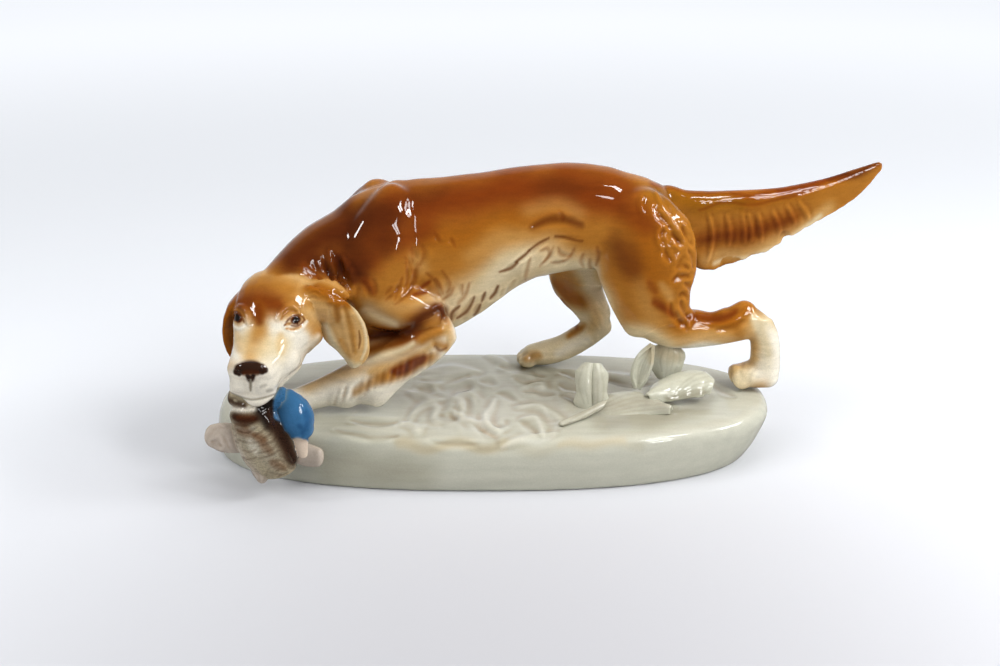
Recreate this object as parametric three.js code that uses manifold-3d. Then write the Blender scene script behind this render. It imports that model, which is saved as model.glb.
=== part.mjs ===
// A glazed porcelain figurine: a setter stalking over an oval plinth with a duck in its mouth.
// It is cast in pieces, and the wet pieces are stuck together with slip before the firing.
// Each cast piece is a mesh of its own, and SEAM of slip lies between two neighbours.
// Millimetres, +Z up, the dog faces -X. While modelling, x = y = 0 is the middle of the plinth,
// and at the end the whole figurine is moved so that its bounding box is centred in x and y.
import * as THREE from "three";
import { mergeVertices } from "three/addons/utils/BufferGeometryUtils.js";
import Module from "manifold-3d";

const wasm = await Module();
wasm.setup();

// Driving dimensions
const SEAM = 0.3; // slip between two cast pieces
const SIDES = 16; // corners of a section of the dog
const PLINTH_HEIGHT = 29; // table to the rim of the plinth's top
const PLINTH_RIM = { length: 311, width: 128, x: 1.5, y: 2.2 }; // outline at the top
const PLINTH_FOOT = { length: 300, width: 124, x: -5, y: -0.5 }; // outline on the table
const OVAL_POWER = 2.4; // 2 is an ellipse, and more is squarer
const PLINTH_WALL = 5; // thickness of the cast plinth
const FOOT_WIDTH = 5.5; // unglazed ring that the figurine stands on
const SPINE_AT_ZERO = 12.9; // y of the dog's middle plane at x = 0
const SPINE_SLOPE = 0.156; // the dog stands askew on the plinth
const HEAD_AT = new THREE.Vector3(-115.3, -47, PLINTH_HEIGHT + 65); // between the eyes
const HEAD_YAW = THREE.MathUtils.degToRad(13); // nose to the left of the viewer
const HEAD_PITCH = THREE.MathUtils.degToRad(11); // nose down

// The dog's middle plane at one place along the plinth
const spineY = (x) => SPINE_AT_ZERO + SPINE_SLOPE * x;

// One oval section of a skin: its centre, its half width, and its reach on either side of
// the centre, plus along tangent x across and minus the other way.
const section = (at, side, plus, minus) => ({ at, reach: new THREE.Vector3(side, plus, minus) });

// A section whose height is counted from the plinth's top, where the dog walks
const ring = (x, y, z, ...reach) =>
  section(new THREE.Vector3(x, y, PLINTH_HEIGHT + z), ...reach);

// A closed skin through oval sections, with a dome at either end. pinch narrows the plus and
// minus halves towards their far ends, as feathering is thinner than the limb that it hangs from.
function skin(rings, options = {}) {
  const {
    across = new THREE.Vector3(0, 1, 0),
    domes = [4, 4],
    steps = 2,
    sides = SIDES,
    pinch = [0, 0],
    square = 2,
    grow = 0,
  } = options;
  const path = new THREE.CatmullRomCurve3(rings.map((r) => r.at));
  const reach = new THREE.CatmullRomCurve3(rings.map((r) => r.reach), false, "catmullrom", 0.5);
  const count = (rings.length - 1) * steps;
  const positions = [];
  const addRing = (centre, tangent, size, scale) => {
    const side = across.clone().addScaledVector(tangent, -across.dot(tangent)).normalize();
    const normal = tangent.clone().cross(side);
    for (let i = 0; i < sides; i++) {
      const angle = (2 * Math.PI * i) / sides;
      const c = Math.sign(Math.cos(angle)) * Math.abs(Math.cos(angle)) ** (2 / square);
      const s = Math.sign(Math.sin(angle)) * Math.abs(Math.sin(angle)) ** (2 / square);
      const narrow = 1 - (s > 0 ? pinch[0] : pinch[1]) * Math.abs(s);
      const depth = s > 0 ? size.y : size.z;
      const p = centre
        .clone()
        .addScaledVector(side, scale * ((size.x + grow) * c * narrow))
        .addScaledVector(normal, scale * ((depth + grow) * s));
      positions.push(p.x, p.y, p.z);
    }
  };
  const DOME_ANGLES = [60, 35, 15].map(THREE.MathUtils.degToRad);
  const addDome = (t, sign, length) => {
    const tangent = path.getTangent(t);
    const order = sign < 0 ? DOME_ANGLES : [...DOME_ANGLES].reverse();
    for (const a of order) {
      const centre = path.getPoint(t).addScaledVector(tangent, sign * (length + grow) * Math.sin(a));
      addRing(centre, tangent, reach.getPoint(t), Math.cos(a));
    }
  };
  addDome(0, -1, domes[0]);
  for (let k = 0; k <= count; k++) {
    const t = k / count;
    addRing(path.getPoint(t), path.getTangent(t), reach.getPoint(t), 1);
  }
  addDome(1, 1, domes[1]);
  const ends = [
    path.getPoint(0).addScaledVector(path.getTangent(0), -(domes[0] + grow)),
    path.getPoint(1).addScaledVector(path.getTangent(1), domes[1] + grow),
  ];
  return closeRings(positions, sides, ends);
}

// Joins rings of equally many points into a closed surface, with a point over either end.
function closeRings(positions, sides, [first, last]) {
  const rows = positions.length / 3 / sides;
  const apexFirst = positions.length / 3;
  positions.push(...first.toArray(), ...last.toArray());
  const index = [];
  for (let i = 0; i < sides; i++) {
    const j = (i + 1) % sides;
    index.push(apexFirst, j, i);
    for (let r = 0; r < rows - 1; r++) {
      const a = r * sides + i;
      const b = r * sides + j;
      index.push(a, b, a + sides, b, b + sides, a + sides);
    }
    const top = (rows - 1) * sides;
    index.push(top + i, top + j, apexFirst + 1);
  }
  const geometry = new THREE.BufferGeometry();
  geometry.setAttribute("position", new THREE.Float32BufferAttribute(positions, 3));
  geometry.setIndex(index);
  return geometry;
}

// three.js geometry to a manifold solid, and back
function solid(geometry) {
  const merged = mergeVertices(geometry, 1e-4);
  const made = new wasm.Manifold(
    new wasm.Mesh({
      numProp: 3,
      vertProperties: merged.attributes.position.array,
      triVerts: new Uint32Array(merged.index.array),
    }),
  );
  if (made.volume() < 0) throw new Error("a skin is inside out");
  return made;
}

function geometryOf(made) {
  const mesh = made.getMesh();
  const geometry = new THREE.BufferGeometry();
  geometry.setAttribute("position", new THREE.BufferAttribute(mesh.vertProperties, 3));
  geometry.setIndex(new THREE.BufferAttribute(mesh.triVerts, 1));
  geometry.computeVertexNormals();
  return geometry;
}

// A form is a list of skins that are cast as one; grown by a seam, it cuts its neighbours.
const union = (parts) => parts.reduce((all, part) => all.add(part));
const cast = (form, grow = 0) =>
  union(form.map(([rings, options]) => solid(skin(rings, { ...options, grow }))));

// The other side of the dog: the rings mirrored in its middle plane, and moved along
const mirrored = (rings, dx = 0, dz = 0) =>
  rings.map(({ at, reach }) => ({
    at: new THREE.Vector3(at.x + dx, 2 * spineY(at.x) - at.y, at.z + dz),
    reach: reach.clone(),
  }));

// Trunk: chest to rump, with the neck, the shoulders and the thighs
const onSpine = (x, z, side, top, bottom) => ring(x, spineY(x), z, side, top, bottom);
const torso = [
  onSpine(-90, 77, 17, 22, 18),
  onSpine(-72, 80, 23, 36, 31),
  onSpine(-50, 81, 25.5, 41, 43),
  onSpine(-28, 82, 26, 40.5, 44),
  onSpine(-5, 88, 24.5, 36.5, 40),
  onSpine(18, 95, 22.5, 32, 31),
  onSpine(40, 98, 21.5, 31, 29),
  onSpine(62, 96, 22.5, 31.5, 27),
  onSpine(80, 92, 21, 29, 26),
  onSpine(93, 88, 16, 21, 21),
];
const brisket = [
  ring(-80, -8, 53, 9, 10, 14),
  ring(-62, -10, 57, 10, 12, 18),
  ring(-46, -11, 60, 10, 12, 17),
];
const neck = [
  ring(-113, -30, 73, 14, 13, 15),
  ring(-104, -19, 79, 16, 15, 17),
  ring(-91, -7, 86, 19, 18, 20),
  ring(-72, 1, 91, 22, 22, 24),
];
const shoulder = [
  ring(-50, -2, 116, 8, 11, 11),
  ring(-56, -11, 102, 12, 19, 18),
  ring(-64, -16, 83, 13, 23, 20),
  ring(-68, -17, 67, 12, 20, 17),
];
const upperArm = [
  ring(-30, -19, 55, 9, 10, 9),
  ring(-42, -19, 58, 10.5, 13, 12),
  ring(-58, -18, 63, 11, 16, 15),
  ring(-70, -16, 68, 11, 17, 15),
].reverse();
const thigh = [
  ring(74, 13, 109, 11, 17, 17),
  ring(80, 9, 93, 14, 30, 23),
  ring(84, 7, 75, 15, 30, 26),
  ring(87, 5.5, 59, 13.5, 26, 22),
  ring(93, 5, 45, 12, 19, 20),
];
const thighFar = [
  ring(68, 34, 107, 11, 17, 17),
  ring(62, 38, 89, 14, 27, 24),
  ring(53, 41, 71, 13, 23, 19),
  ring(47, 42, 59, 11.5, 17, 15),
];
const trunkForm = [
  [torso, { domes: [8, 7], sides: 20 }],
  [brisket, { domes: [3, 5] }],
  [neck, { domes: [4, 6] }],
  [shoulder, { domes: [5, 7] }],
  [upperArm, { domes: [6, 4] }],
  [mirrored(shoulder, -9, -1), { domes: [5, 7] }],
  [mirrored(upperArm, -12, 0), { domes: [6, 4] }],
  [thigh, { domes: [8, 8] }],
  [thighFar, { domes: [8, 7] }],
];

// Tail: a rounded root, and the long fringe that hangs from it
const tail = [
  ring(86, 27, 102, 9, 9, 12),
  ring(98, 29, 104.5, 7.5, 8, 22),
  ring(110, 31.5, 104, 6.5, 7.5, 34),
  ring(122, 33.5, 103.5, 6, 7, 39),
  ring(134, 35.5, 103.8, 5.6, 6.5, 38),
  ring(148, 36.5, 104.6, 5.2, 6, 33),
  ring(162, 38.5, 105.4, 5, 5.6, 28),
  ring(174, 40.5, 107.3, 4.6, 5.2, 22),
  ring(190, 42.7, 110.9, 4, 4.5, 17),
  ring(206, 45.2, 116.4, 3.2, 3.6, 12),
  ring(219, 47.2, 121.6, 2.2, 2.2, 4),
];
const tailForm = [[tail, { domes: [4, 3], pinch: [0, 0.5] }]];

// Forelegs: the forearm with its feathering, and the paw
const forearm = [
  ring(-25, -19, 50, 8, 11, 10),
  ring(-31, -20, 47, 9.5, 14, 10),
  ring(-44, -21, 39, 9, 16.5, 9),
  ring(-59, -22, 31, 8.5, 17, 8.5),
  ring(-75, -23, 22, 8, 14, 8),
  ring(-90, -24, 14.5, 7.5, 9.5, 7.5),
  ring(-102, -26, 9.5, 8, 7, 7.5),
  ring(-111, -28, 7.5, 8.5, 6, 6.5),
];
const forearmFar = [
  ring(-84, 17, 67, 8, 10, 10),
  ring(-98, 14, 60, 8.5, 11, 9),
  ring(-113, 10, 48, 8, 11, 8),
  ring(-124, 6, 33, 7.5, 9, 7),
  ring(-130, 3, 18, 7.5, 7.5, 7),
  ring(-137, 0, 8, 8, 6.5, 6.5),
];
const forelegForm = [[forearm, { domes: [4, 5], pinch: [0.35, 0] }]];
const forelegFarForm = [[forearmFar, { domes: [4, 5], pinch: [0.3, 0] }]];

// Hind legs: the lower leg to the hock, the shank down to the paw, and the paw
const hindLower = [
  ring(88, 5, 45, 11.5, 14, 11),
  ring(101, 6, 39.5, 11, 12.5, 12),
  ring(118, 7.5, 38, 10, 10.5, 10.5),
  ring(134, 8.5, 40, 8.5, 10, 10.5),
  ring(146, 9, 42, 7.5, 10.5, 10),
];
const hindShank = [
  ring(149, 9, 44, 7, 7, 9),
  ring(154.5, 9.3, 33, 6.8, 7.5, 8.5),
  ring(156.5, 9.8, 21, 6.5, 7.5, 9.5),
  ring(156.5, 10, 12, 7.5, 8, 9),
];
const hindPaw = [
  ring(141, 10.5, 7.5, 7.5, 6.5, 5.5),
  ring(149, 10.3, 8.5, 9, 8.5, 7),
  ring(158, 10, 8.5, 8, 8.5, 7),
];
const hindlegForm = [
  [hindLower, { domes: [6, 5] }],
  [hindShank, { domes: [5, 3] }],
  [hindPaw, { domes: [5, 6] }],
];
const hindFarLower = [
  ring(46, 42, 63, 11, 16, 14),
  ring(49, 42, 53, 10.5, 15, 14),
  ring(56, 42, 41, 8.5, 11, 10.5),
  ring(61, 42, 32, 7.5, 9.5, 9),
];
const hindFarShank = [
  ring(23, 42.5, 7.5, 8, 6, 5.5),
  ring(31, 42.3, 9, 8.5, 7, 7),
  ring(42, 42, 13, 7, 7, 8),
  ring(54, 42, 21, 6.5, 7, 9),
  ring(64, 42, 29, 7, 7, 8.5),
];
const hindlegFarForm = [
  [hindFarLower, { domes: [4, 6] }],
  [hindFarShank, { domes: [5, 5] }],
];

// Head: its own frame lies at HEAD_AT, x to the nose, y to the dog's left, z up
const headFrame = new THREE.Matrix4()
  .makeTranslation(HEAD_AT)
  .multiply(new THREE.Matrix4().makeRotationZ(-Math.PI / 2 - HEAD_YAW))
  .multiply(new THREE.Matrix4().makeRotationY(HEAD_PITCH));
const inHead = (x, y, z, ...reach) =>
  section(new THREE.Vector3(x, y, z).applyMatrix4(headFrame), ...reach);
const headLeft = new THREE.Vector3(0, 1, 0).transformDirection(headFrame);
const headForward = new THREE.Vector3(1, 0, 0).transformDirection(headFrame);
const skull = [
  inHead(-30, 0, 0, 17, 13, 14),
  inHead(-20, 0, 0, 21.5, 17.5, 25),
  inHead(-10, 0, -0.5, 22, 16.5, 29),
  inHead(0, 0, -3, 20, 13, 28),
  inHead(8, 0, -6.5, 17.5, 9.5, 24),
  inHead(17, 0, -9, 14.5, 7.5, 22),
  inHead(26, 0, -11, 13, 7, 21),
  inHead(33, 0, -12, 12, 6.5, 19),
];
const jaw = [
  inHead(-8, 0, -20, 12, 6, 6),
  inHead(4, 0, -27, 11, 5, 5),
  inHead(14, 0, -32, 8, 4, 4),
];
const headForm = [
  [skull, { across: headLeft, domes: [6, 3.5], square: 2.3, sides: 20 }],
  [jaw, { across: headLeft, domes: [3, 3] }],
];

// Ears: flat flaps that hang from the sides of the skull
const ear = [
  inHead(-12, 16, 8, 7, 3.5, 3),
  inHead(-13, 23, 2, 10, 3.5, 3),
  ring(-80, -34, 59, 11, 3.2, 3),
  ring(-75.5, -33, 48, 10.5, 3.2, 3),
  ring(-72, -32.5, 38.5, 7.5, 3, 2.5),
];
const earFar = [
  inHead(-12, -16, 7, 7, 3, 3),
  inHead(-11, -23.5, 0, 9.5, 3, 3),
  inHead(-9, -26.5, -12, 11, 3, 3),
  inHead(-8, -26, -23, 9.5, 3, 3),
  inHead(-8, -25, -31, 6, 2.5, 2.5),
];
const earForm = [[ear, { across: new THREE.Vector3(1, 0, 0), domes: [3, 6], sides: 14 }]];
const earFarForm = [[earFar, { across: headForward, domes: [3, 4], sides: 14 }]];

// Duck: it hangs from the jaws by its neck, breast to the viewer
const X_AXIS = new THREE.Vector3(1, 0, 0);
const duckNeck = [
  ring(-133, -65, 29, 5, 5, 5),
  ring(-125, -66, 27, 6, 6, 6),
  ring(-116, -66, 27, 6, 5, 5),
  ring(-107, -65, 29, 5, 5, 5),
];
const duckBody = [
  ring(-126.5, -68, 23, 10, 8, 8),
  ring(-122.5, -67.5, 16, 13, 10.5, 12),
  ring(-118.5, -66.5, 5, 15, 12, 19),
  ring(-115, -65.5, -5, 14.5, 12, 21),
  ring(-113, -64, -13, 10.5, 8, 18),
];
const duckHead = [
  ring(-106, -65, 29, 4.5, 4.5, 4.5),
  ring(-102.7, -66, 22.7, 8, 7.5, 7.5),
  ring(-100.3, -67, 16.4, 8.6, 8, 8),
  ring(-99, -67, 11, 6.6, 6.5, 6.5),
];
const duckBill = [
  ring(-99.7, -67.5, 8, 4.4, 3, 3),
  ring(-99.2, -68, 1, 3.4, 2.4, 2.4),
  ring(-98.6, -68.5, -3.5, 2.4, 1.8, 1.8),
];
const duckWing = [
  ring(-132, -66, 4.5, 8, 3, 3),
  ring(-140, -67, 6, 8.6, 3.2, 3),
  ring(-145.5, -67, 7, 6.5, 3, 2.6),
];
const duckWingFar = [
  ring(-106, -57, -6.2, 6, 3.4, 4),
  ring(-98, -56, -10, 6.5, 3.4, 5),
  ring(-92.5, -57, -10.6, 5.5, 3, 4),
];
const duckTail = [
  ring(-121, -67, -8, 7, 5, 4),
  ring(-121, -68, -14, 5, 4, 3.5),
  ring(-121, -68, -18, 2.6, 2.2, 2.2),
];
const duckBodyForm = [
  [duckBody, { across: X_AXIS, domes: [5, 4] }],
  [duckNeck, { domes: [3, 2], sides: 12 }],
];
const duckHeadForm = [
  [duckHead, { across: X_AXIS, domes: [3, 6], sides: 16 }],
  [duckBill, { across: X_AXIS, domes: [2, 1.6], sides: 12 }],
];
const duckWingForm = [[duckWing, { across: new THREE.Vector3(0, 0, 1), domes: [3, 4], sides: 14 }]];
const duckWingFarForm = [
  [duckWingFar, { across: new THREE.Vector3(0, 0, 1), domes: [3, 3], sides: 12 }],
];
const duckTailForm = [[duckTail, { across: X_AXIS, domes: [2, 2], sides: 12 }]];

// Plinth: an oval dish, upside down, whose walls lean in at the tail end. Its outline is a
// superellipse both at the rim and at the foot.
const PLINTH_SIDES = 64;
function oval({ length, width, x, y }) {
  const points = [];
  for (let i = 0; i < PLINTH_SIDES; i++) {
    const angle = (2 * Math.PI * i) / PLINTH_SIDES;
    const c = Math.cos(angle);
    const s = Math.sin(angle);
    points.push(
      new THREE.Vector3(
        x + (length / 2) * Math.sign(c) * Math.abs(c) ** (2 / OVAL_POWER),
        y + (width / 2) * Math.sign(s) * Math.abs(s) ** (2 / OVAL_POWER),
        0,
      ),
    );
  }
  return points;
}
const level = (z, towardsRim, inset) => ({ z, towardsRim, inset });

// Rings of an oval body: each lies between the foot's outline and the rim's, and is set in
function ovalBody(levels, crown = 0) {
  const foot = oval(PLINTH_FOOT);
  const rim = oval(PLINTH_RIM);
  const middle = new THREE.Vector3(PLINTH_RIM.x, PLINTH_RIM.y, 0);
  const positions = [];
  for (const { z, towardsRim, inset } of levels) {
    foot.forEach((corner, i) => {
      const p = corner.clone().lerp(rim[i], towardsRim);
      p.lerp(middle, inset / p.distanceTo(middle));
      positions.push(p.x, p.y, z);
    });
  }
  const ends = [middle.clone().setZ(levels[0].z), middle.clone().setZ(levels.at(-1).z + crown)];
  return solid(closeRings(positions, PLINTH_SIDES, ends));
}
const plinthLevels = [
  level(0, 0, 1.5),
  level(1.2, 0.03, 0.3),
  level(PLINTH_HEIGHT * 0.3, 0.35, -1.2),
  level(PLINTH_HEIGHT * 0.6, 0.7, -1.2),
  level(PLINTH_HEIGHT * 0.8, 0.95, -0.4),
  level(PLINTH_HEIGHT * 0.93, 1, 1.2),
  level(PLINTH_HEIGHT, 1, 4.5),
  level(PLINTH_HEIGHT + 0.8, 1, 14),
  level(PLINTH_HEIGHT + 1.2, 1, 40),
];
const PLINTH_CROWN = 0.4; // the top is a little higher in the middle
const plinthOutside = ovalBody(plinthLevels, PLINTH_CROWN);
const plinthGrown = ovalBody(
  plinthLevels.map((l) => level(l.z + SEAM, l.towardsRim, l.inset - SEAM)),
  PLINTH_CROWN,
);
const plinthHollow = ovalBody([
  level(-5, 0, FOOT_WIDTH + 1.5),
  level(PLINTH_HEIGHT * 0.6, 0.5, FOOT_WIDTH),
  level(PLINTH_HEIGHT - PLINTH_WALL - 3, 0.8, FOOT_WIDTH + 3),
  level(PLINTH_HEIGHT - PLINTH_WALL, 0.9, FOOT_WIDTH + 14),
]);

// Leaves of an oak twig, pressed by hand and stuck to the plinth
const leafUpright = [
  ring(57, -17, 1, 4, 2, 2), ring(57, -17, 9, 9, 2.2, 2), ring(57.5, -16, 18, 9.5, 2.2, 2),
  ring(58.5, -15, 25, 6, 2, 2),
];
const leafNarrow = [
  ring(85, 0, 2, 3, 2, 2), ring(88, 1, 11, 5, 2.4, 2), ring(91.5, 2, 19, 5.5, 2.4, 2),
];
const leafProp = [
  ring(98, 4, 2, 6, 2.4, 2), ring(99.5, 5, 11, 8.5, 2.6, 2), ring(101, 5.5, 21, 8.5, 2.6, 2),
  ring(102, 6, 27, 8, 2.4, 2),
];
const leafCurled = [
  ring(92, -12, 4, 7, 2, 2), ring(103, -10, 8, 9, 2.2, 2), ring(114, -8, 11, 9.5, 2.2, 2),
  ring(124, -8, 8, 7.5, 2.2, 2),
];
const leafFlat = [
  ring(62, -22, 4, 4, 2, 1.8), ring(75, -19, 6, 9, 2.2, 1.8), ring(88, -20, 6, 9, 2.2, 1.8),
  ring(103, -23, 4, 3.5, 2, 1.6),
];
const twig = [
  ring(38, -42, 2, 2, 1.6, 1.6), ring(50, -33, 3, 2.4, 2, 2), ring(63, -22, 5, 2.6, 2, 2),
  ring(80, -10, 5, 2.6, 2, 2), ring(92, -4, 4, 2.4, 2, 2),
];
const UPRIGHT = { across: X_AXIS, domes: [3, 3], sides: 12 };
const LYING = { domes: [3, 2], sides: 12 };

// Cast pieces. A piece later in the list is cut by the grown forms of those that it meets.
const glaze = (name, colour) =>
  new THREE.MeshStandardMaterial({ name, color: colour, roughness: 0.12, metalness: 0 });
const coat = glaze("setter glaze", 0xa8622a);
const pale = glaze("pale glaze", 0xc9c6b8);
const duckBrown = glaze("duck brown", 0x8a7560);
const duckBlue = glaze("duck blue", 0x2f5f8f);

const grown = new Map();
const grownOf = (form) => {
  if (!grown.has(form)) grown.set(form, cast(form, SEAM));
  return grown.get(form);
};
const fitted = (form, ...met) => met.reduce((left, m) => left.subtract(grownOf(m)), cast(form));
// The cut can leave a scrap on the far side of a neighbour: the piece is the largest body
const largest = (made) =>
  made.decompose().reduce((best, body) => (body.volume() > best.volume() ? body : best));

const plinth = plinthOutside.subtract(plinthHollow);
const standsOnPlinth = (made) => made.subtract(plinthGrown);
const leafForms = {
  leaf_flat: [[leafFlat, LYING]],
  leaf_curled: [[leafCurled, LYING]],
  leaf_upright: [[leafUpright, UPRIGHT]],
  leaf_narrow: [[leafNarrow, UPRIGHT]],
  leaf_prop: [[leafProp, UPRIGHT]],
};
const twigForm = [[twig, { domes: [2, 2], sides: 10 }]];

const pieces = [
  ["plinth", plinth, pale],
  ["dog_trunk", cast(trunkForm), coat],
  ["dog_head", fitted(headForm, trunkForm, duckHeadForm, duckBodyForm), coat],
  ["dog_ear_left", fitted(earForm, headForm, trunkForm), coat],
  ["dog_ear_right", fitted(earFarForm, headForm, trunkForm), coat],
  ["dog_foreleg_left", standsOnPlinth(fitted(forelegForm, trunkForm)), coat],
  ["dog_foreleg_right", standsOnPlinth(fitted(forelegFarForm, trunkForm, forelegForm)), coat],
  ["dog_hindleg_left", standsOnPlinth(fitted(hindlegForm, trunkForm)), coat],
  ["dog_hindleg_right", standsOnPlinth(fitted(hindlegFarForm, trunkForm)), coat],
  ["dog_tail", fitted(tailForm, trunkForm), coat],
  ["duck_body", standsOnPlinth(cast(duckBodyForm)), duckBrown],
  ["duck_head", fitted(duckHeadForm, duckBodyForm), duckBlue],
  ["duck_wing_left", fitted(duckWingForm, duckBodyForm), duckBrown],
  ["duck_wing_right", standsOnPlinth(fitted(duckWingFarForm, duckBodyForm, duckHeadForm)), duckBrown],
  ["duck_tail", fitted(duckTailForm, duckBodyForm), duckBrown],
];
let earlier = [hindlegForm, trunkForm];
for (const [name, form] of Object.entries(leafForms)) {
  pieces.push([name, standsOnPlinth(fitted(form, ...earlier)), pale]);
  earlier = [...earlier, form];
}
pieces.push(["twig", standsOnPlinth(fitted(twigForm, ...earlier)), pale]);

const figurine = new THREE.Group();
for (const [name, made, material] of pieces) {
  const mesh = new THREE.Mesh(geometryOf(largest(made)), material);
  mesh.name = name;
  figurine.add(mesh);
}
const box = new THREE.Box3().setFromObject(figurine);
const middle = box.getCenter(new THREE.Vector3());
figurine.position.set(-middle.x, -middle.y, -box.min.z);

export default figurine;
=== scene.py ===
# %% [markdown]
# # A glazed porcelain dog that carries a duck
# The real figurine is cast in plaster moulds in a few parts. The parts are joined with wet clay
# while they are soft, the joints are sponged away, hair and folds are cut with a modelling tool,
# the colours are sprayed and brushed on, and a clear glaze is fired over all of it. This lesson
# goes the same way: the CAD model is the set of castings, and Blender joins, carves, paints and
# glazes them.

# %% Open the fixed frame
import math

import bpy
import numpy as np
from mathutils import Matrix, Vector
from mathutils.kdtree import KDTree


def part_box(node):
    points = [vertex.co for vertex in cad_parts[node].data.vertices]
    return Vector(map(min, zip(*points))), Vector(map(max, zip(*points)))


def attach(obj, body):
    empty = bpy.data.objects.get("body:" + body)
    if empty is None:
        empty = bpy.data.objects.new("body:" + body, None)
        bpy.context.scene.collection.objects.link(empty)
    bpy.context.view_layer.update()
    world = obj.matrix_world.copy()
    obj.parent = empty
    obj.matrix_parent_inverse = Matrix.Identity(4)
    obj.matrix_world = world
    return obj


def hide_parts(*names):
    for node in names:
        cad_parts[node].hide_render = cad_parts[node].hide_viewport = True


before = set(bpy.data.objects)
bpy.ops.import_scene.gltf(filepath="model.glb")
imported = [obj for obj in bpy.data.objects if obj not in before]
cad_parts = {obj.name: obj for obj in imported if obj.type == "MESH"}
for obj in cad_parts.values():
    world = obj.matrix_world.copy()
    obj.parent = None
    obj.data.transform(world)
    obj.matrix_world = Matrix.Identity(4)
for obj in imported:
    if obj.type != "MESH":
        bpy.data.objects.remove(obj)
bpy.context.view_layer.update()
print("castings:", sorted(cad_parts))

# %% [markdown]
# ## Sizes
# The figurine is measured in millimetres from the middle of its plinth, with the height from the
# table. Blender works in metres in the CAD model's frame, so one small function takes a place
# from the first to the second, and numpy does the same for many points at once.

# %% Millimetres on the plinth to metres in the frame
MM = 0.001
RIM_MIDDLE = (1.5, 2.2)
plinth_low, plinth_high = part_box("plinth")
ORIGIN = Vector((
    (plinth_low.x + plinth_high.x) / 2 - RIM_MIDDLE[0] * MM,
    (plinth_low.y + plinth_high.y) / 2 - RIM_MIDDLE[1] * MM,
    0,
))


def at(x, y, z):
    return ORIGIN + Vector((x, y, z)) * MM


def measured(places):
    return (places - np.array(ORIGIN)) / MM


print("plinth origin:", [round(c, 4) for c in ORIGIN])

# %% [markdown]
# ## The camera
# The photograph looks down on the figurine from the front by about twenty-one degrees, from
# arm's length. The same numbers also say at which pixel of the photograph a point of the clay is
# seen. Carving and painting use that: a brush stroke is given where the photograph shows it.

# %% Set the camera
LOOK_AT = (5.6, 0, 67.5)
CAMERA_DISTANCE = 781
CAMERA_RISE = math.radians(21.5)
FOCAL_PIXELS = 1400
PICTURE = (1000, 666)
SENSOR = 36

FORWARD = np.array((0, math.cos(CAMERA_RISE), -math.sin(CAMERA_RISE)))
UPWARD = np.array((0, math.sin(CAMERA_RISE), math.cos(CAMERA_RISE)))
EYE = np.array(LOOK_AT) - FORWARD * CAMERA_DISTANCE

bpy.ops.object.camera_add(location=at(*EYE), rotation=(math.pi / 2 - CAMERA_RISE, 0, 0))
camera = bpy.context.object
camera.name = "camera"
camera.data.sensor_width = SENSOR
camera.data.lens = FOCAL_PIXELS * SENSOR / PICTURE[0]
bpy.context.scene.camera = camera


def pixels(places):
    """Where the photograph shows these places, given in plinth millimetres"""
    ray = places - EYE
    depth = ray @ FORWARD
    across = PICTURE[0] / 2 + FOCAL_PIXELS * ray[:, 0] / depth
    down = PICTURE[1] / 2 - FOCAL_PIXELS * (ray @ UPWARD) / depth
    return np.stack((across, down), 1)


def spot(across, down, depth):
    """The place in plinth millimetres that shows at a pixel, this far behind the middle"""
    ray = FORWARD + UPWARD * (PICTURE[1] / 2 - down) / FOCAL_PIXELS
    ray = ray + np.array(((across - PICTURE[0] / 2) / FOCAL_PIXELS, 0, 0))
    return EYE + ray * (depth - EYE[1]) / ray[1]


print("camera lens:", round(camera.data.lens, 1), "mm")

# %% [markdown]
# ## Small helpers for modifiers and meshes
# Most steps add one modifier and apply it. Everything is deselected first, because an operator
# works on all that is selected.

# %% Helpers for picking, modifying and reading a mesh
SMOOTH_FACTOR = 0.5


def pick(*pieces):
    bpy.ops.object.select_all(action="DESELECT")
    for piece in pieces:
        piece.select_set(True)
    bpy.context.view_layer.objects.active = pieces[0]


def modify(piece, kind, **settings):
    pick(piece)
    modifier = piece.modifiers.new(kind.title(), kind)
    for name, value in settings.items():
        setattr(modifier, name, value)
    bpy.ops.object.modifier_apply(modifier=modifier.name)
    return piece


def soften(piece, rounds, **settings):
    modify(piece, "SMOOTH", factor=SMOOTH_FACTOR, iterations=rounds, **settings)


def places_of(piece):
    places = np.empty(len(piece.data.vertices) * 3, np.float32)
    piece.data.vertices.foreach_get("co", places)
    return measured(places.reshape(-1, 3).astype(float))


def directions_of(piece):
    directions = np.empty(len(piece.data.vertices) * 3, np.float32)
    piece.data.vertex_normals.foreach_get("vector", directions)
    return directions.reshape(-1, 3).astype(float)


def put_places(piece, places):
    metres = places * MM + np.array(ORIGIN)
    piece.data.vertices.foreach_set("co", metres.astype(np.float32).ravel())
    piece.data.update()


# %% [markdown]
# ## Join the castings
# Each casting is copied, its loose triangles are merged, and the copy is swelled by the width of
# a joint, so that neighbours overlap. A voxel remesh then makes one skin of them, as the
# potter's wet clay does.

# %% Copy castings and join them
MERGE_DISTANCE = 0.01
JOINT_SWELL = 0.3


def castings(name, nodes, swell=JOINT_SWELL):
    copies = []
    for node in nodes:
        copy = bpy.data.objects.new(node + "_copy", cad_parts[node].data.copy())
        bpy.context.scene.collection.objects.link(copy)
        copies.append(copy)
    pick(*copies)
    if len(copies) > 1:
        bpy.ops.object.join()
    joined = bpy.context.object
    joined.name = joined.data.name = name
    joined.data.materials.clear()
    bpy.ops.object.mode_set(mode="EDIT")
    bpy.ops.mesh.select_all(action="SELECT")
    bpy.ops.mesh.remove_doubles(threshold=MERGE_DISTANCE * MM)
    bpy.ops.object.mode_set(mode="OBJECT")
    if swell:
        modify(joined, "DISPLACE", strength=swell * MM, mid_level=0)
    return joined


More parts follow.
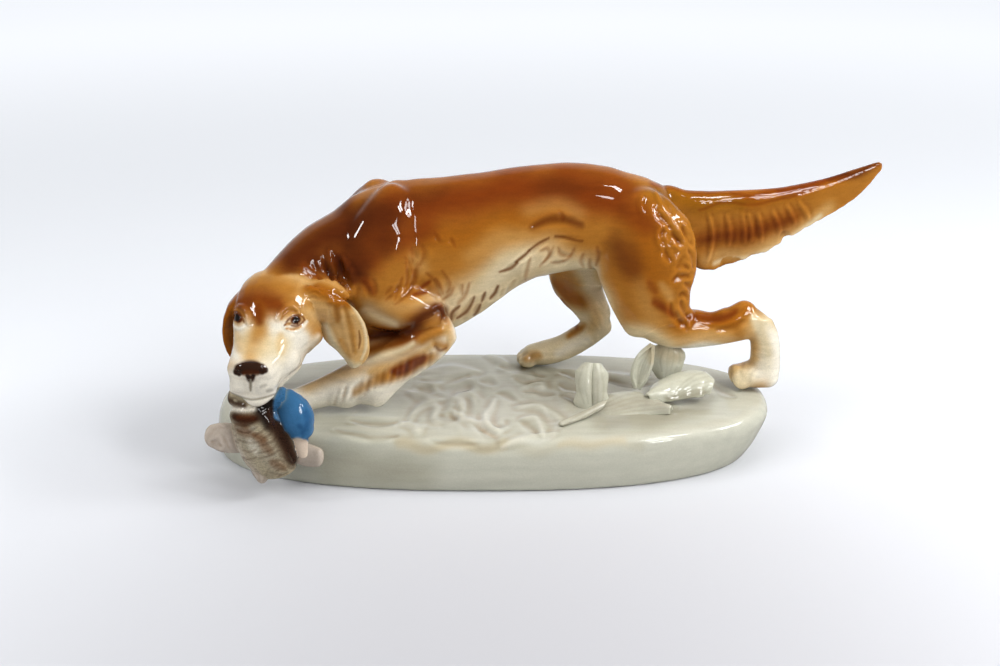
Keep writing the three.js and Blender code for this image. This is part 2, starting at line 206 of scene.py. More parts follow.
DOG_NODES = (
    "dog_trunk", "dog_head", "dog_ear_left", "dog_ear_right", "dog_foreleg_left",
    "dog_foreleg_right", "dog_hindleg_left", "dog_hindleg_right", "dog_tail",
)
dog = castings("dog", DOG_NODES)
print("dog castings joined:", len(dog.data.vertices), "points")

# %% [markdown]
# ## Press on pellets of clay
# A modeller builds the small forms, such as brows, cheeks and toes, by pressing on pellets. Each
# one is an egg shape, set in the head's own frame or on the plinth's, and the remesh melts it in.

# %% The head's frame, and one pellet
HEAD_AT = (-115.3, -47, 94)
HEAD_YAW = math.radians(13)
HEAD_PITCH = math.radians(11)
HEAD = (
    Matrix.Translation(HEAD_AT)
    @ Matrix.Rotation(-math.pi / 2 - HEAD_YAW, 4, "Z")
    @ Matrix.Rotation(HEAD_PITCH, 4, "Y")
)
PELLET_SEGMENTS, PELLET_RINGS = 20, 12


def pellet(place, radii, turn=(0, 0, 0), in_head=False):
    """place and radii in millimetres, turn in degrees about x, y and z"""
    bpy.ops.object.select_all(action="DESELECT")
    bpy.ops.mesh.primitive_uv_sphere_add(
        segments=PELLET_SEGMENTS, ring_count=PELLET_RINGS, radius=1)
    ball = bpy.context.object
    turned = Matrix.Identity(4)
    for angle, axis in zip(turn, "XYZ"):
        turned = Matrix.Rotation(math.radians(angle), 4, axis) @ turned
    shape = Matrix.Translation(place) @ turned @ Matrix.Diagonal((*radii, 1))
    if in_head:
        shape = HEAD @ shape
    ball.data.transform(Matrix.Translation(ORIGIN) @ Matrix.Scale(MM, 4) @ shape)
    return ball


# %% Pellets of the head, the chest and the toes
HEAD_PELLETS = (
    ((27, 8, -17), (9, 6, 8), (0, 20, -8)),
    ((27, -4, -17), (9, 6, 8), (0, 20, 8)),
    ((15, 12, -13), (12, 4.5, 9), (0, 10, -14)),
    ((15, -9, -13), (12, 4.5, 9), (0, 10, 14)),
    ((28, 2.5, -25.5), (7.5, 9.5, 5.5), (0, 12, 11)),
    ((33.6, 2.6, -8), (3.6, 8.6, 3.6), (0, 12, 11)),
    ((34.6, 2.4, -11), (2.6, 5, 3), (0, 0, 11)),
)
CHEST_PELLETS = (
    ((-60, -13, 66), (26, 9, 10), (0, 8, 0)),
    ((-44, -14, 66), (20, 10, 12), (0, -20, 0)),
)
NECK_ROOT_PELLET = ((-85, -31, 103), (12, 10, 8), (0, 15, 0))
PAWS = ((-142.5, 0), (-117, -27), (141.5, 10.5), (20, 42))
TOES_ASIDE = (-5.6, -1.9, 1.9, 5.6)
OUTER_TOE_BACK = 0.35
TOE_HEIGHT = 35.2
TOE_RADII = (5.6, 2.8, 4.2)
pellets = [pellet(*each, in_head=True) for each in HEAD_PELLETS]
pellets += [pellet(*each) for each in (*CHEST_PELLETS, NECK_ROOT_PELLET)]
for x, y in PAWS:
    for aside in TOES_ASIDE:
        toe = (x + abs(aside) * OUTER_TOE_BACK, y + aside, TOE_HEIGHT)
        pellets.append(pellet(toe, TOE_RADII))
pick(dog, *pellets)
bpy.ops.object.join()
print("pellets:", len(pellets))

# %% [markdown]
# ## One skin
# The voxel remesh joins everything at nine tenths of a millimetre, fine enough for the carved
# hair. The Smooth modifier then takes away the steps and softens each joint, less on the thin
# ears and paws, which would shrink. A vertex group says how much.

# %% Remesh the dog and soften the joints
SKIN_VOXEL = 0.88
SOFTEN_ROUNDS = 58
PAW_TOP, PAW_SOFTNESS = 39, 0.16
SOFTENED = {
    "dog_trunk": 1.0, "dog_head": 0.22, "dog_ear_left": 0.12, "dog_ear_right": 0.12,
    "dog_foreleg_left": 0.5, "dog_foreleg_right": 0.5, "dog_hindleg_left": 0.5,
    "dog_hindleg_right": 0.5, "dog_tail": 0.3,
}


def remesh(piece, voxel):
    return modify(piece, "REMESH", mode="VOXEL", voxel_size=voxel * MM, adaptivity=0)


def casting_finder(nodes):
    """A function that gives, for many places, the name of the nearest casting"""
    samples = []
    for node in nodes:
        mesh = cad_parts[node].data
        corners = np.array([v.co for v in mesh.vertices], float)
        faces = np.array([tuple(p.vertices)[:3] for p in mesh.polygons])
        middles = corners[faces].mean(1)
        near_corners = (corners[faces].transpose(1, 0, 2) + middles).reshape(-1, 3) / 2
        samples.append((node, measured(np.vstack((corners, middles, near_corners)))))
    tree = KDTree(sum(len(group) for _, group in samples))
    owner = []
    for node, group in samples:
        for place in group:
            tree.insert(place, len(owner))
            owner.append(node)
    tree.balance()
    return lambda places: np.array([owner[tree.find(place)[1]] for place in places])


remesh(dog, SKIN_VOXEL)
dog_casting = casting_finder(DOG_NODES)
casting_of_point = dog_casting(places_of(dog))
softness = dog.vertex_groups.new(name="softness")
for node_name, share in SOFTENED.items():
    softened = np.flatnonzero(casting_of_point == node_name)
    softness.add(softened.tolist(), share, "REPLACE")
paws = np.flatnonzero((places_of(dog)[:, 2] < PAW_TOP) & (casting_of_point != "dog_trunk"))
softness.add(paws.tolist(), PAW_SOFTNESS, "REPLACE")
soften(dog, SOFTEN_ROUNDS, vertex_group=softness.name)
print("dog skin:", len(dog.data.vertices), "points")

# %% [markdown]
# ## The modelling tool
# A stroke is a smooth line through a few points. `nearness` says how near every point of the
# skin is to it: one on the line, falling to zero at the stroke's width, which thins towards both
# ends as a real stroke does. The same function serves the carving and the painting.

# %% A stroke and how near each point is to it
STROKE_STEPS = 6
TOOL_THINNING = 0.6
SHORTEST = 1e-9


def smooth_line(points, steps=STROKE_STEPS):
    """A curve that passes through every point, as many steps from each to the next"""
    points = np.array(points, float)
    if len(points) < 3:
        return points
    ends = np.vstack((2 * points[0] - points[1], points, 2 * points[-1] - points[-2]))
    part = np.linspace(0, 1, steps, endpoint=False)[:, None]
    spans = []
    for a, b, c, d in zip(ends, ends[1:], ends[2:], ends[3:]):
        bend = (2 * a - 5 * b + 4 * c - d) * part ** 2 + (3 * b - a - 3 * c + d) * part ** 3
        spans.append((2 * b + (c - a) * part + bend) / 2)
    return np.vstack(spans + [points[-1:]])


def eased(level):
    """From zero to one as before, but with a soft start and a soft end"""
    return level * level * (3 - 2 * level)


def nearness(spots, points, width, thinning=TOOL_THINNING):
    """One on the line, zero at the stroke's width, which thinning makes less at both ends"""
    line = smooth_line(points)
    near = np.zeros(len(spots))
    inside = np.all((spots > line.min(0) - width) & (spots < line.max(0) + width), axis=1)
    close = np.flatnonzero(inside)
    if not len(close):
        return near
    here = spots[close]
    gap = np.full(len(close), np.inf)
    part = np.full(len(close), 0.5)
    last = max(len(line) - 1, 1)
    for index in range(last):
        start = line[index]
        step = line[min(index + 1, len(line) - 1)] - start
        share = np.clip((here - start) @ step / max(step @ step, SHORTEST), 0, 1)
        away = np.linalg.norm(here - start - share[:, None] * step, axis=1)
        nearer = away < gap
        gap = np.where(nearer, away, gap)
        part = np.where(nearer, (index + share) / last, part)
    reach = width * (1 - thinning * (2 * part - 1) ** 2)
    near[close] = eased(np.clip(1 - gap / reach, 0, 1))
    return near


# %% [markdown]
# ## Tables of strokes
# A stroke is written as the pixels that it runs through. Plain text is easier to read and to
# mend than nested brackets, so each row of a table is a line of text: two words, two numbers, a
# colon, and the strokes themselves, with a slash between two of them.
#
# - A carver's row gives a name, the castings, a width in pixels and a depth in millimetres.
# - A painter's row gives the castings, a paint, a width in pixels and how strongly it covers.
#
# What is both carved and painted is written once, and the painter's row gives the carver's name
# in place of the strokes.

# %% Read a table of strokes
GROUPS = {
    "trunk": ("dog_trunk",), "head": ("dog_head",), "ear": ("dog_ear_left",),
    "tail": ("dog_tail",), "foreleg": ("dog_foreleg_left",),
    "far_foreleg": ("dog_foreleg_right",), "hindleg": ("dog_hindleg_left",),
    "far_hindleg": ("dog_hindleg_right",), "back": ("dog_trunk", "dog_tail"),
    "elbow": ("dog_trunk", "dog_foreleg_left"), "face": ("dog_head", "dog_ear_left"),
    "near": ("dog_trunk", "dog_foreleg_left", "dog_hindleg_left"),
    "rear": ("dog_trunk", "dog_hindleg_left", "dog_tail"),
    "wings": ("duck_wing_left", "duck_wing_right"), "fan": ("duck_tail", "duck_body"),
    "twig_leaf": ("leaf_flat", "twig"),
}
CUTS = {}


def on(castings_here, group):
    """Whether each point is on a casting of the group, which may be a single casting's name"""
    return np.isin(castings_here, GROUPS.get(group, (group,)))


def strokes_in(text):
    """Strokes such as "12,40 18,44 / 20,41 26,45", or the names of strokes that were cut"""
    strokes = []
    for part in text.split("/"):
        words = part.split()
        if words[0] in CUTS:
            strokes += CUTS[words[0]]
        else:
            strokes.append([tuple(map(float, word.split(","))) for word in words])
    return strokes


def table(text):
    """The rows of a carver's or a painter's table; an indented line goes on with its row"""
    rows = []
    for row in text.replace("\n    ", " ").strip().splitlines():
        words, strokes = row.split(":")
        first, second, width, amount = words.split()
        rows.append((first, second, float(width), float(amount), strokes_in(strokes)))
    return rows


SWAY_TURN, SWAY_DOWN = 2.4, 0.7


def combed(text, count, sway=0.0):
    """Strokes laid side by side between a first and a last one, a little uneven"""
    first, last = (np.array(stroke) for stroke in strokes_in(text))
    strokes = []
    for index, share in enumerate(np.linspace(0, 1, count)):
        uneven = sway * math.sin(index * SWAY_TURN)
        strokes.append(first + (last - first) * share + (uneven, uneven * SWAY_DOWN))
    return strokes


# %% [markdown]
# ## The near side and its mirror
# The photograph shows one side. A point on the far side of the body is mirrored in the plane of
# the spine, and takes the stroke of its twin, so both sides are carved and painted alike. The
# legs stand apart, so only the trunk and the tail are mirrored. The bent elbow has no twin, so a
# far point that would show there takes no stroke.

# %% Where each point of the skin is seen, or its twin
SPINE_AT_ZERO = 12.9
SPINE_SLOPE = 0.156
ELBOW_ACROSS, ELBOW_DOWN = (356, 452), (298, 350)
NOWHERE = (-999, -999)


def spine_side(places):
    return places[:, 1] - (SPINE_AT_ZERO + SPINE_SLOPE * places[:, 0])


def seen_spots(places, directions, castings_here):
    """The pixels at which the points or their twins show, and how squarely they face us"""
    places = places.copy()
    directions = directions.copy()
    far = on(castings_here, "back") & (spine_side(places) > 0)
    places[far, 1] -= 2 * spine_side(places)[far]
    directions[far, 1] *= -1
    view = EYE - places
    view /= np.linalg.norm(view, axis=1)[:, None]
    spots = pixels(places)
    across, down = spots.T
    at_elbow = (across > ELBOW_ACROSS[0]) & (across < ELBOW_ACROSS[1])
    at_elbow &= (down > ELBOW_DOWN[0]) & (down < ELBOW_DOWN[1])
    spots[far & at_elbow] = NOWHERE
    return spots, (directions * view).sum(1)


# %% Pull a place of the skin
def pull(piece, castings_here, moves):
    """Each move: the castings, a pixel, a radius and a shift in pixels"""
    places = places_of(piece)
    spots, _ = seen_spots(places, directions_of(piece), castings_here)
    for group, middle, radius, (right, down) in moves:
        away = np.linalg.norm(spots - np.array(middle), axis=1)
        level = eased(np.clip(1 - away / radius, 0, 1) * on(castings_here, group))
        size = ((places - EYE) @ FORWARD) / FOCAL_PIXELS
        places[:, 0] += right * size * level
        places -= UPWARD * (down * size * level)[:, None]
    put_places(piece, places)
    print(piece.name, "pulled at", len(moves), "places")


pull(dog, casting_of_point, (
    ("ear", (362, 362), 18, (-6, 4)),
    ("ear", (330, 334), 20, (-4, 2)),
    ("ear", (345, 304), 16, (1, -3)),
    ("head", (312, 340), 24, (8, 0)),
    ("head", (297, 366), 26, (7, 1)),
    ("head", (256, 398), 20, (0, 5)),
    ("head", (237, 388), 14, (-5, 4)),
    ("foreleg", (385, 390), 30, (0, 9)),
    ("foreleg", (350, 402), 24, (0, 7)),
    ("tail", (706, 258), 18, (0, 8)),
    ("tail", (716, 264), 9, (0, 3)),
    ("tail", (766, 250), 15, (0, 3)),
    ("tail", (786, 238), 9, (-2, -4)),
    ("tail", (744, 256), 8, (0, 2)),
    ("trunk", (380, 184), 60, (0, -3)),
    ("trunk", (440, 180), 60, (0, -5.5)),
    ("trunk", (500, 174), 60, (0, -4.7)),
    ("trunk", (560, 167), 60, (0, -3)),
    ("trunk", (393, 185), 14, (0, -2)),
    ("trunk", (630, 172), 24, (0, 2)),
    ("back", (668, 189), 22, (0, -5)),
    ("trunk", (500, 308), 58, (0, -10)),
    ("trunk", (525, 292), 40, (0, -4)),
    ("foreleg", (378, 400), 24, (0, 8)),
    ("hindleg", (742, 306), 16, (0, -4)),
    ("hindleg", (712, 316), 16, (0, 4)),
    ("hindleg", (765, 311), 13, (1, 6)),
    ("hindleg", (735, 376), 15, (-1, -8)),
))

# %% Carve strokes into a skin
FACING_FULL = 0.3
MELT_ROUNDS = 2
BANK_WIDTH = 2.3
BANK_SHARE = 0.45
LEAST_LIFT = 0.05


def neighbours_middle(piece, values, rounds):
    """Each point's value replaced, a few times over, by the middle of its neighbours'"""
    ends = np.empty(len(piece.data.edges) * 2, np.int32)
    piece.data.edges.foreach_get("vertices", ends)
    first, second = ends.reshape(-1, 2).T
    total = len(values)
    count = np.bincount(first, minlength=total) + np.bincount(second, minlength=total)
    for _ in range(rounds):
        summed = [
            np.bincount(first, column[second], total) + np.bincount(second, column[first], total)
            for column in values.T
        ]
        values = np.stack(summed, 1) / np.maximum(count, 1)[:, None]
    return values


def carve(piece, castings_here, rows):
    """Cuts the strokes of a carver's rows, each with a low bank of clay on both sides

    Where the depth is negative, the stroke raises a ridge."""
    places = places_of(piece)
    directions = directions_of(piece)
    spots, facing = seen_spots(places, directions, castings_here)
    facing = np.clip(facing / FACING_FULL, 0, 1)
    lift = np.zeros(len(places))
    for name, group, width, depth, strokes in rows:
        CUTS[name] = strokes
        chosen = np.flatnonzero(on(castings_here, group) & (facing > 0))
        for points in strokes:
            near = nearness(spots[chosen], points, width)
            bank = nearness(spots[chosen], points, width * BANK_WIDTH) * BANK_SHARE
            lift[chosen] -= depth * (near - bank) * facing[chosen]
    lift = neighbours_middle(piece, lift[:, None], MELT_ROUNDS)[:, 0]
    put_places(piece, places + directions * lift[:, None])
    print(piece.name, "carved:", int((abs(lift) > LEAST_LIFT).sum()), "points")


# %% Carve the coat
CUTS.update(
    flank_hair=combed("503,274 508,267 513,263 / 540,248 545,242 551,239", 11),
    tail_fringe=combed(
        "706,213 709,228 706,246 699,266 / 806,197 812,207 812,216 812,224", 13, sway=2.0),
    forearm_hair=combed("340,388 337,398 334,406 / 429,350 428,360 426,370", 20, sway=1.5),
    forearm_tuft=combed("433,337 436,347 437,357 / 446,336 447,346 446,356", 5),
    far_leg_hair=combed("598,300 602,306 606,312 / 584,344 590,349 592,356", 9, sway=1.5),
)
carve(dog, casting_of_point, table("""
shoulder_hair trunk 4.4 0.8: 409,262 408,276 405,289 / 411,247 415,254 416,260 / 424,247 426,255
    422,264 / 408,257 413,264 414,272 / 426,272 434,283 437,290 / 441,271 447,282 447,289 444,295 /
    451,288 448,295 441,302 / 461,285 460,294 / 398,285 392,294 386,299 / 403,276 399,287 396,298 /
    416,268 412,282 408,293 / 434,279 438,290 440,297 / 427,283 432,293 438,300 / 469,283 464,294
    456,303 / 420,262 417,272 415,280 / 413,288 404,296 397,302 / 392,286 385,294 / 434,234 441,243
    / 450,238 454,245
belly_hair trunk 4.6 1.0: 458,305 453,312 454,319 / 473,297 465,310 459,317 / 485,294 481,301 /
    479,304 474,312 / 498,287 495,295 490,300
groin_edge trunk 4.6 1.0: 504,289 500,296 / 468,312 463,320 / 515,280 510,288 506,294
neck_tuft trunk 5.5 -1.6: 329,250 332,266 337,283 / 317,262 324,274 331,285 / 343,257 349,270
    350,284 / 352,268 354,282 353,296
neck_creases trunk 4 1.2: 323,256 328,270 334,284 / 337,254 341,268 344,282 / 304,266 325,282
    350,298 / 362,280 368,289 370,298 / 371,276 376,285 376,293
flank_folds trunk 4 0.7: 501,272 511,268 518,262 / 516,262 523,256 529,250 / 527,251 536,245
    546,241 / 552,239 566,237 583,238
flank_hair trunk 3 0.5: flank_hair
flank_dip trunk 8 0.8: 533,226 547,222 564,221 581,224
groin_hair trunk 4.4 0.8: 530,258 527,268 524,277 / 539,252 546,250 549,256 541,265 / 552,249
    550,256 545,262 / 558,248 562,254 572,255 / 575,246 572,255 566,262 / 584,252 582,260 585,267 /
    590,258 590,266 594,272 / 553,262 560,263 566,260 / 596,246 598,256 596,266 / 560,212 563,217
    562,222
breeches rear 5.5 2.0: 660,214 668,222 675,232 / 655,207 662,220 672,229 / 660,236 664,230 670,236
    671,245 / 665,250 668,258 672,260 / 672,232 678,240 684,240 / 682,226 688,236 692,244 / 676,268
    682,264 688,268 / 672,281 680,276 690,277 / 678,262 684,258 690,262 / 679,297 684,294 689,298 /
    671,303 674,314 682,326 / 681,300 683,310 689,318 / 676,310 680,320 688,330 / 684,282 690,288
    691,296 / 668,226 676,238 682,246 / 688,250 693,258 694,268
breeches_locks rear 4 -1.2: 643,194 641,206 644,216 / 655,190 662,204 671,216 / 661,226 658,238
    662,250 / 684,222 688,234 691,242 / 676,224 680,234 684,242 / 678,276 684,272 690,270 / 672,302
    676,316 685,330 / 691,306 692,316 687,330
elbow_strip trunk 11 1.5: 366,336 393,336 410,330 426,318 437,311
elbow_notch elbow 7 1.6: 436,310 443,312 446,322
elbow_rim elbow 3.4 -1.0: 428,313 437,306 443,308 448,325
tail_line tail 4 0.4: 700,209 716,206 747,203 772,201 800,193 830,182 860,172
tail_fringe tail 3 0.35: tail_fringe
tail_ridges tail 4.2 -1.9: 708,212 712,228 712,244 708,262 / 727,214 730,230 729,246 / 742,212
    745,228 745,244 / 748,212 751,226 752,242 / 758,212 761,226 762,242 / 772,210 778,222 780,234 /
    786,204 792,214 796,224 / 798,200 806,212 810,220
forearm_hair foreleg 3.4 1.1: forearm_hair
forearm_tuft foreleg 3.4 1.1: forearm_tuft
forearm_ridge foreleg 8 -1.0: 366,362 385,355 410,343 430,334 444,329
hock_cord hindleg 5 -0.9: 700,322 722,324 740,316 748,310
hock_dip hindleg 6 1.0: 716,330 732,328 744,320
paw_toes hindleg 3 0.8: 744,362 741,372 742,382 / 757,368 750,376 750,383
far_leg_hair far_hindleg 3 0.7: far_leg_hair
far_leg_dip far_hindleg 5 1.0: 558,298 566,314 577,330
far_paw_toes far_hindleg 3 0.8: 528,352 522,357 522,366 / 538,351 531,357 530,367
"""))

# %% [markdown]
# ## Cut the skin into pieces again
# The finished piece is listed by its castings, so the skin is parted where they meet. Each
# cutter is the casting itself, swelled and remeshed. A Boolean keeps what is inside it for the
# piece and takes it from the rest, so both sides of a joint share one edge and it doesn't show.

# %% Part the skin
CUTTER_SWELL = {
    "dog_head": 7, "dog_ear_left": 5, "dog_foreleg_left": 6, "dog_tail": 5, "dog_hindleg_left": 4,
}
OTHER_SWELL = 2.6
CUTTER_VOXEL = 1.5
SHARPEST_SMOOTH = math.radians(50)


def part_off(whole, node, swell, voxel=CUTTER_VOXEL):
    cutter = remesh(castings(node + "_cutter", [node], swell=swell), voxel)
    piece = bpy.data.objects.new(node + "_glazed", whole.data.copy())
    bpy.context.scene.collection.objects.link(piece)
    modify(piece, "BOOLEAN", operation="INTERSECT", object=cutter, solver="MANIFOLD")
    modify(whole, "BOOLEAN", operation="DIFFERENCE", object=cutter, solver="MANIFOLD")
    bpy.data.objects.remove(cutter)
    return piece


def finish_shape(piece):
    piece.data.validate()
    pick(piece)
    bpy.ops.object.shade_smooth_by_angle(angle=SHARPEST_SMOOTH)
    print(piece.name, len(piece.data.polygons), "faces")


dog_pieces = {}
for node_name in DOG_NODES[:0:-1]:
    cutter_swell = CUTTER_SWELL.get(node_name, OTHER_SWELL)
    dog_pieces[node_name] = part_off(dog, node_name, cutter_swell)
dog.name = dog.data.name = "dog_trunk_glazed"
dog_pieces["dog_trunk"] = dog
print("dog pieces:", sorted(dog_pieces))

# %% [markdown]
# ## Colours
# The painter sprays and brushes metal oxides under the glaze: iron gives the chestnut and the
# gold, cobalt the duck's blue head. Colours are sRGB hex values, made linear by one function.
# Paints are mixed in a tone scale that is even to the eye, so a soft edge isn't too dark.

# %% One function for colours, and the paints
def linear(colour):
    """An sRGB hex colour as the linear numbers that Blender works with"""
    parts = [int(colour[i:i + 2], 16) / 255 for i in (1, 3, 5)]
    return [p / 12.92 if p <= 0.04045 else ((p + 0.055) / 1.055) ** 2.4 for p in parts]


PAINTS = {
    "porcelain": "#ddd6c6",
    "cream": "#cfbf9c",
    "straw": "#bf9860",
    "gold": "#9c6422",
    "olive": "#7c4f0c",
    "amber": "#894c0b",
    "chestnut": "#6d2f08",
    "umber": "#4c1f06",
    "sepia": "#2c1a10",
    "black": "#17110e",
    "grey": "#8f8878",
    "blue": "#35648c",
    "deep_blue": "#234a72",
    "bill": "#cbb9a6",
    "blush": "#b3a698",
    "drab": "#a3977c",
    "slip": "#b8b7a8",
    "slip_dark": "#8d8874",
    "slip_light": "#d8d8d0",
    "leaf_slip": "#bfbeac",
}
TONE_SCALE = 2.2
TONES = {name: np.array(linear(colour)) ** (1 / TONE_SCALE) for name, colour in PAINTS.items()}
print("paints:", len(PAINTS))


# %% A wavering hand, and the hollows where paint gathers
WAVER_SIZE = 12.0
HOLLOW_ROUNDS = 5


def waver(places):
    """A smooth uneven shift, in pixels, that makes a sprayed edge look hand-made

    It is a sum of sines whose numbers were picked."""
    x, y, z = (places / WAVER_SIZE).T
    across = np.sin(x * 1.7 + 2.1 * np.sin(z * 0.9)) + np.sin(z * 2.3 + y * 1.3)
    down = np.sin(z * 1.9 + 1.7 * np.sin(x * 1.1)) + np.sin(x * 2.7 - y * 1.1)
    return np.stack((across, down), 1)


def hollows(piece):
    """How far each point lies below the skin around it, in millimetres"""
    places = places_of(piece)
    middle = neighbours_middle(piece, places, HOLLOW_ROUNDS)
    return ((middle - places) * directions_of(piece)).sum(1)


# %% Brush the paint on
SPRAY_WIDTH = 12
BLEND_ROUNDS = 12
BRUSH_THINNING = 0.25
FACING_AWAY, FACING_SPAN = 0.15, 0.3
POOL_LEAST, POOL_MOST = -0.25, 0.6
EDGE_LIGHTER = 0.4
DOG_LOOSE = 1.6


def brush(piece, castings_here, base, rows, pooling=0.9, loose=DOG_LOOSE):
    """Lays the paints of a painter's rows over each casting's own base colour

    A stroke as wide as SPRAY_WIDTH is sprayed and covers the far side of a leg too. The others
    are brushed on what faces us, once the sprayed ones have blended. At last the paint is made
    deeper where it pools in hollows, and lighter on edges."""
    places = places_of(piece)
    spots, facing = seen_spots(places, directions_of(piece), castings_here)
    facing = np.clip((facing + FACING_AWAY) / FACING_SPAN, 0, 1)
    spots = spots + waver(places) * loose
    tone = np.array([TONES[base[name]] for name in castings_here])
    for sprayed in (True, False):
        reached = np.ones(len(places)) if sprayed else facing
        for group, paint, width, strength, strokes in rows:
            if (width >= SPRAY_WIDTH) != sprayed:
                continue
            chosen = np.flatnonzero(on(castings_here, group) & (reached > 0))
            for points in strokes:
                cover = nearness(spots[chosen], points, width, BRUSH_THINNING) * strength
                cover = np.clip(cover, 0, 1) * reached[chosen]
                tone[chosen] += (TONES[paint] - tone[chosen]) * cover[:, None]
        if sprayed:
            tone = neighbours_middle(piece, tone, BLEND_ROUNDS)
    pooled = np.clip(hollows(piece) * pooling, POOL_LEAST, POOL_MOST)[:, None]
    deep = tone * TONES["straw"] ** 2
    worn = tone * (1 - pooled * EDGE_LIGHTER)
    tone = np.where(pooled > 0, tone + (deep - tone) * pooled, worn)
    colour = np.ones((len(places), 4), np.float32)
    colour[:, :3] = np.clip(tone, 0, 1) ** TONE_SCALE
    layer = piece.data.color_attributes.new("underglaze", "FLOAT_COLOR", "POINT")
    layer.data.foreach_set("color", colour.ravel())


# %% The colours of the coat
# Painted shade in the coat: the umber along elbow_strip and elbow_notch, and the chestnut just
# below them, are partly the coat's dark brown and partly painted shade in the crease between chest
# and forearm.
# The grey row across the chest's pale underside is painted shade.
BODY_PAINT = table("""
trunk cream 40 0.9: 440,310 480,290 510,268 540,262 580,268
trunk chestnut 42 1.0: 395,205 440,205 500,190 560,190 610,200
trunk amber 26 0.7: 430,240 470,235 510,222 560,214
trunk gold 22 0.6: 450,262 480,252 505,238 525,230
trunk cream 18 1.2: 452,328 480,316 505,300 530,286 560,275 592,272
trunk umber 34 1.0: 290,262 318,240 345,232 368,220 390,215
trunk chestnut 30 0.9: 372,240 395,240 425,230 / 345,262 372,262
trunk umber 26 0.7: 345,205 352,235 362,262 / 372,205 382,230 384,250
trunk umber 18 0.8: 314,258 340,268 358,272
trunk gold 18 0.8: 385,290 402,290 416,268
trunk straw 12 0.6: 416,256 424,268
trunk grey 14 0.6: 366,305 384,318 402,324
trunk straw 12 0.7: 385,303 410,306 426,300
trunk cream 24 0.8: 488,292 510,270 524,256
trunk straw 18 0.4: 530,208 555,205 580,212
trunk straw 20 0.4: 470,252 500,240 524,234
trunk umber 22 0.5: 410,196 440,192 / 545,186 595,188
trunk umber 11 0.8: 312,258 325,270 340,284 / 340,258 350,278
trunk umber 11 0.5: 330,250 346,262 362,278
trunk chestnut 10 0.7: 304,264 318,278 / 362,280 372,292
trunk cream 10 0.6: 364,312 376,320 394,324
trunk umber 2.4 0.65: flank_folds
trunk umber 9 0.5: flank_dip
trunk umber 3 0.7: belly_hair
trunk chestnut 3 0.3: shoulder_hair
trunk chestnut 3 0.25: groin_hair
trunk chestnut 5 0.9: 420,286 427,282 / 414,292 424,293
rear amber 44 0.8: 640,215 650,260 655,290
rear chestnut 30 0.8: 590,195 625,205 645,225
trunk umber 26 0.6: 616,246 626,258 636,270
rear gold 26 0.9: 622,296 645,314 670,332
rear straw 20 0.35: 640,284 652,318 668,334
rear chestnut 8 0.5: 655,300 664,308 / 650,283 655,292
rear straw 10 0.5: 662,284 670,298
tail gold 60 0.8: 690,210 740,205 800,190
rear amber 17 1.0: 668,196 700,199 750,198 800,188 840,178
rear olive 16 0.7: 650,190 690,203 740,205
rear chestnut 18 0.7: 560,172 600,174 630,187
rear chestnut 7 0.6: 650,183 700,192 750,193 800,185 840,174
tail chestnut 17 0.75: 696,238 740,234 775,228 796,218
tail umber 9 0.25: 704,240 735,236 768,230 790,222
tail chestnut 9 0.9: 780,192 820,182 850,173
tail umber 10 0.9: 830,180 862,169 883,162
tail chestnut 3 0.5: tail_line
tail straw 12 0.9: 704,262 735,253 770,246 800,229 830,209
tail cream 6 0.8: 716,266 740,256 775,249 800,231 822,216
rear amber 14 0.9: 680,322 700,320 722,320 748,314
rear chestnut 8 0.8: 694,315 712,318 735,310 / 655,305 675,314
hindleg straw 22 1.0: 752,330 762,350 748,370
rear cream 20 1.2: 584,268 598,300 618,332 650,350 690,354 740,348
rear straw 13 0.9: 648,334 670,340 695,340 728,334
rear cream 13 0.8: 630,328 648,336 668,343
rear porcelain 8 1.0: 640,344 665,350 700,350 738,346
hindleg porcelain 16 1.2: 768,350 764,372 748,382
hindleg cream 10 0.9: 756,320 764,336 768,352 / 742,350 748,362
hindleg cream 24 1.4: 768,326 776,345 778,378 / 722,382 745,380
hindleg porcelain 20 1.2: 776,335 782,360 774,386
hindleg straw 8 0.6: 729,376 744,364 756,360 / 746,338 751,352
far_foreleg straw 30 0.8: 268,330 281,302
far_foreleg gold 40 1.2: 284,300 318,270 335,290
far_hindleg amber 22 1.2: 556,284 566,293 580,302
far_hindleg straw 12 0.9: 590,303 596,318 592,330
far_hindleg cream 7 0.9: 546,278 560,305 572,322
far_hindleg chestnut 5 0.8: far_leg_dip
far_hindleg gold 8 0.6: 568,337 584,328 / 524,362 536,356
far_hindleg amber 6 0.6: 570,337 582,331
far_hindleg cream 8 0.8: 538,348 562,339
far_hindleg porcelain 10 0.7: 556,352 574,346 590,340
near gold 16 1.0: 362,350 390,348 420,334 446,322
near umber 13 1.1: elbow_strip
near umber 8 1.0: elbow_notch
foreleg chestnut 8 0.5: 368,348 392,345 414,336 434,326
foreleg straw 12 0.8: 304,388 335,376 360,370 385,366
foreleg cream 7 0.9: 366,362 385,355 410,343
foreleg gold 10 0.9: 420,341 432,335 445,328
foreleg straw 8 0.8: 374,373 397,362 420,352 432,344
foreleg straw 9 0.8: 446,322 450,336 446,350
foreleg gold 15 1.0: 380,378 398,370 414,362 432,358
foreleg chestnut 11 1.3: 396,370 404,366 414,361 422,359
foreleg gold 9 0.6: 356,391 372,386 392,375
foreleg gold 11 0.8: 436,344 444,346
foreleg umber 3 0.5: 434,346 440,351 446,348
foreleg porcelain 9 0.9: 345,402 375,396 400,385 425,373
""")
BASES = {
    "dog_trunk": "gold", "dog_head": "gold", "dog_ear_left": "straw",
    "dog_ear_right": "amber", "dog_tail": "gold", "dog_foreleg_left": "porcelain",
    "dog_foreleg_right": "cream", "dog_hindleg_left": "gold", "dog_hindleg_right": "cream",
}
print("coat strokes:", sum(len(row[-1]) for row in BODY_PAINT))

# %% [markdown]
# ## The face
# The face carries the finest work, so the head and the ears are divided once more before their
# lids, brows, nose and folds are cut. The joint's edge stays where it was, so no gap opens.

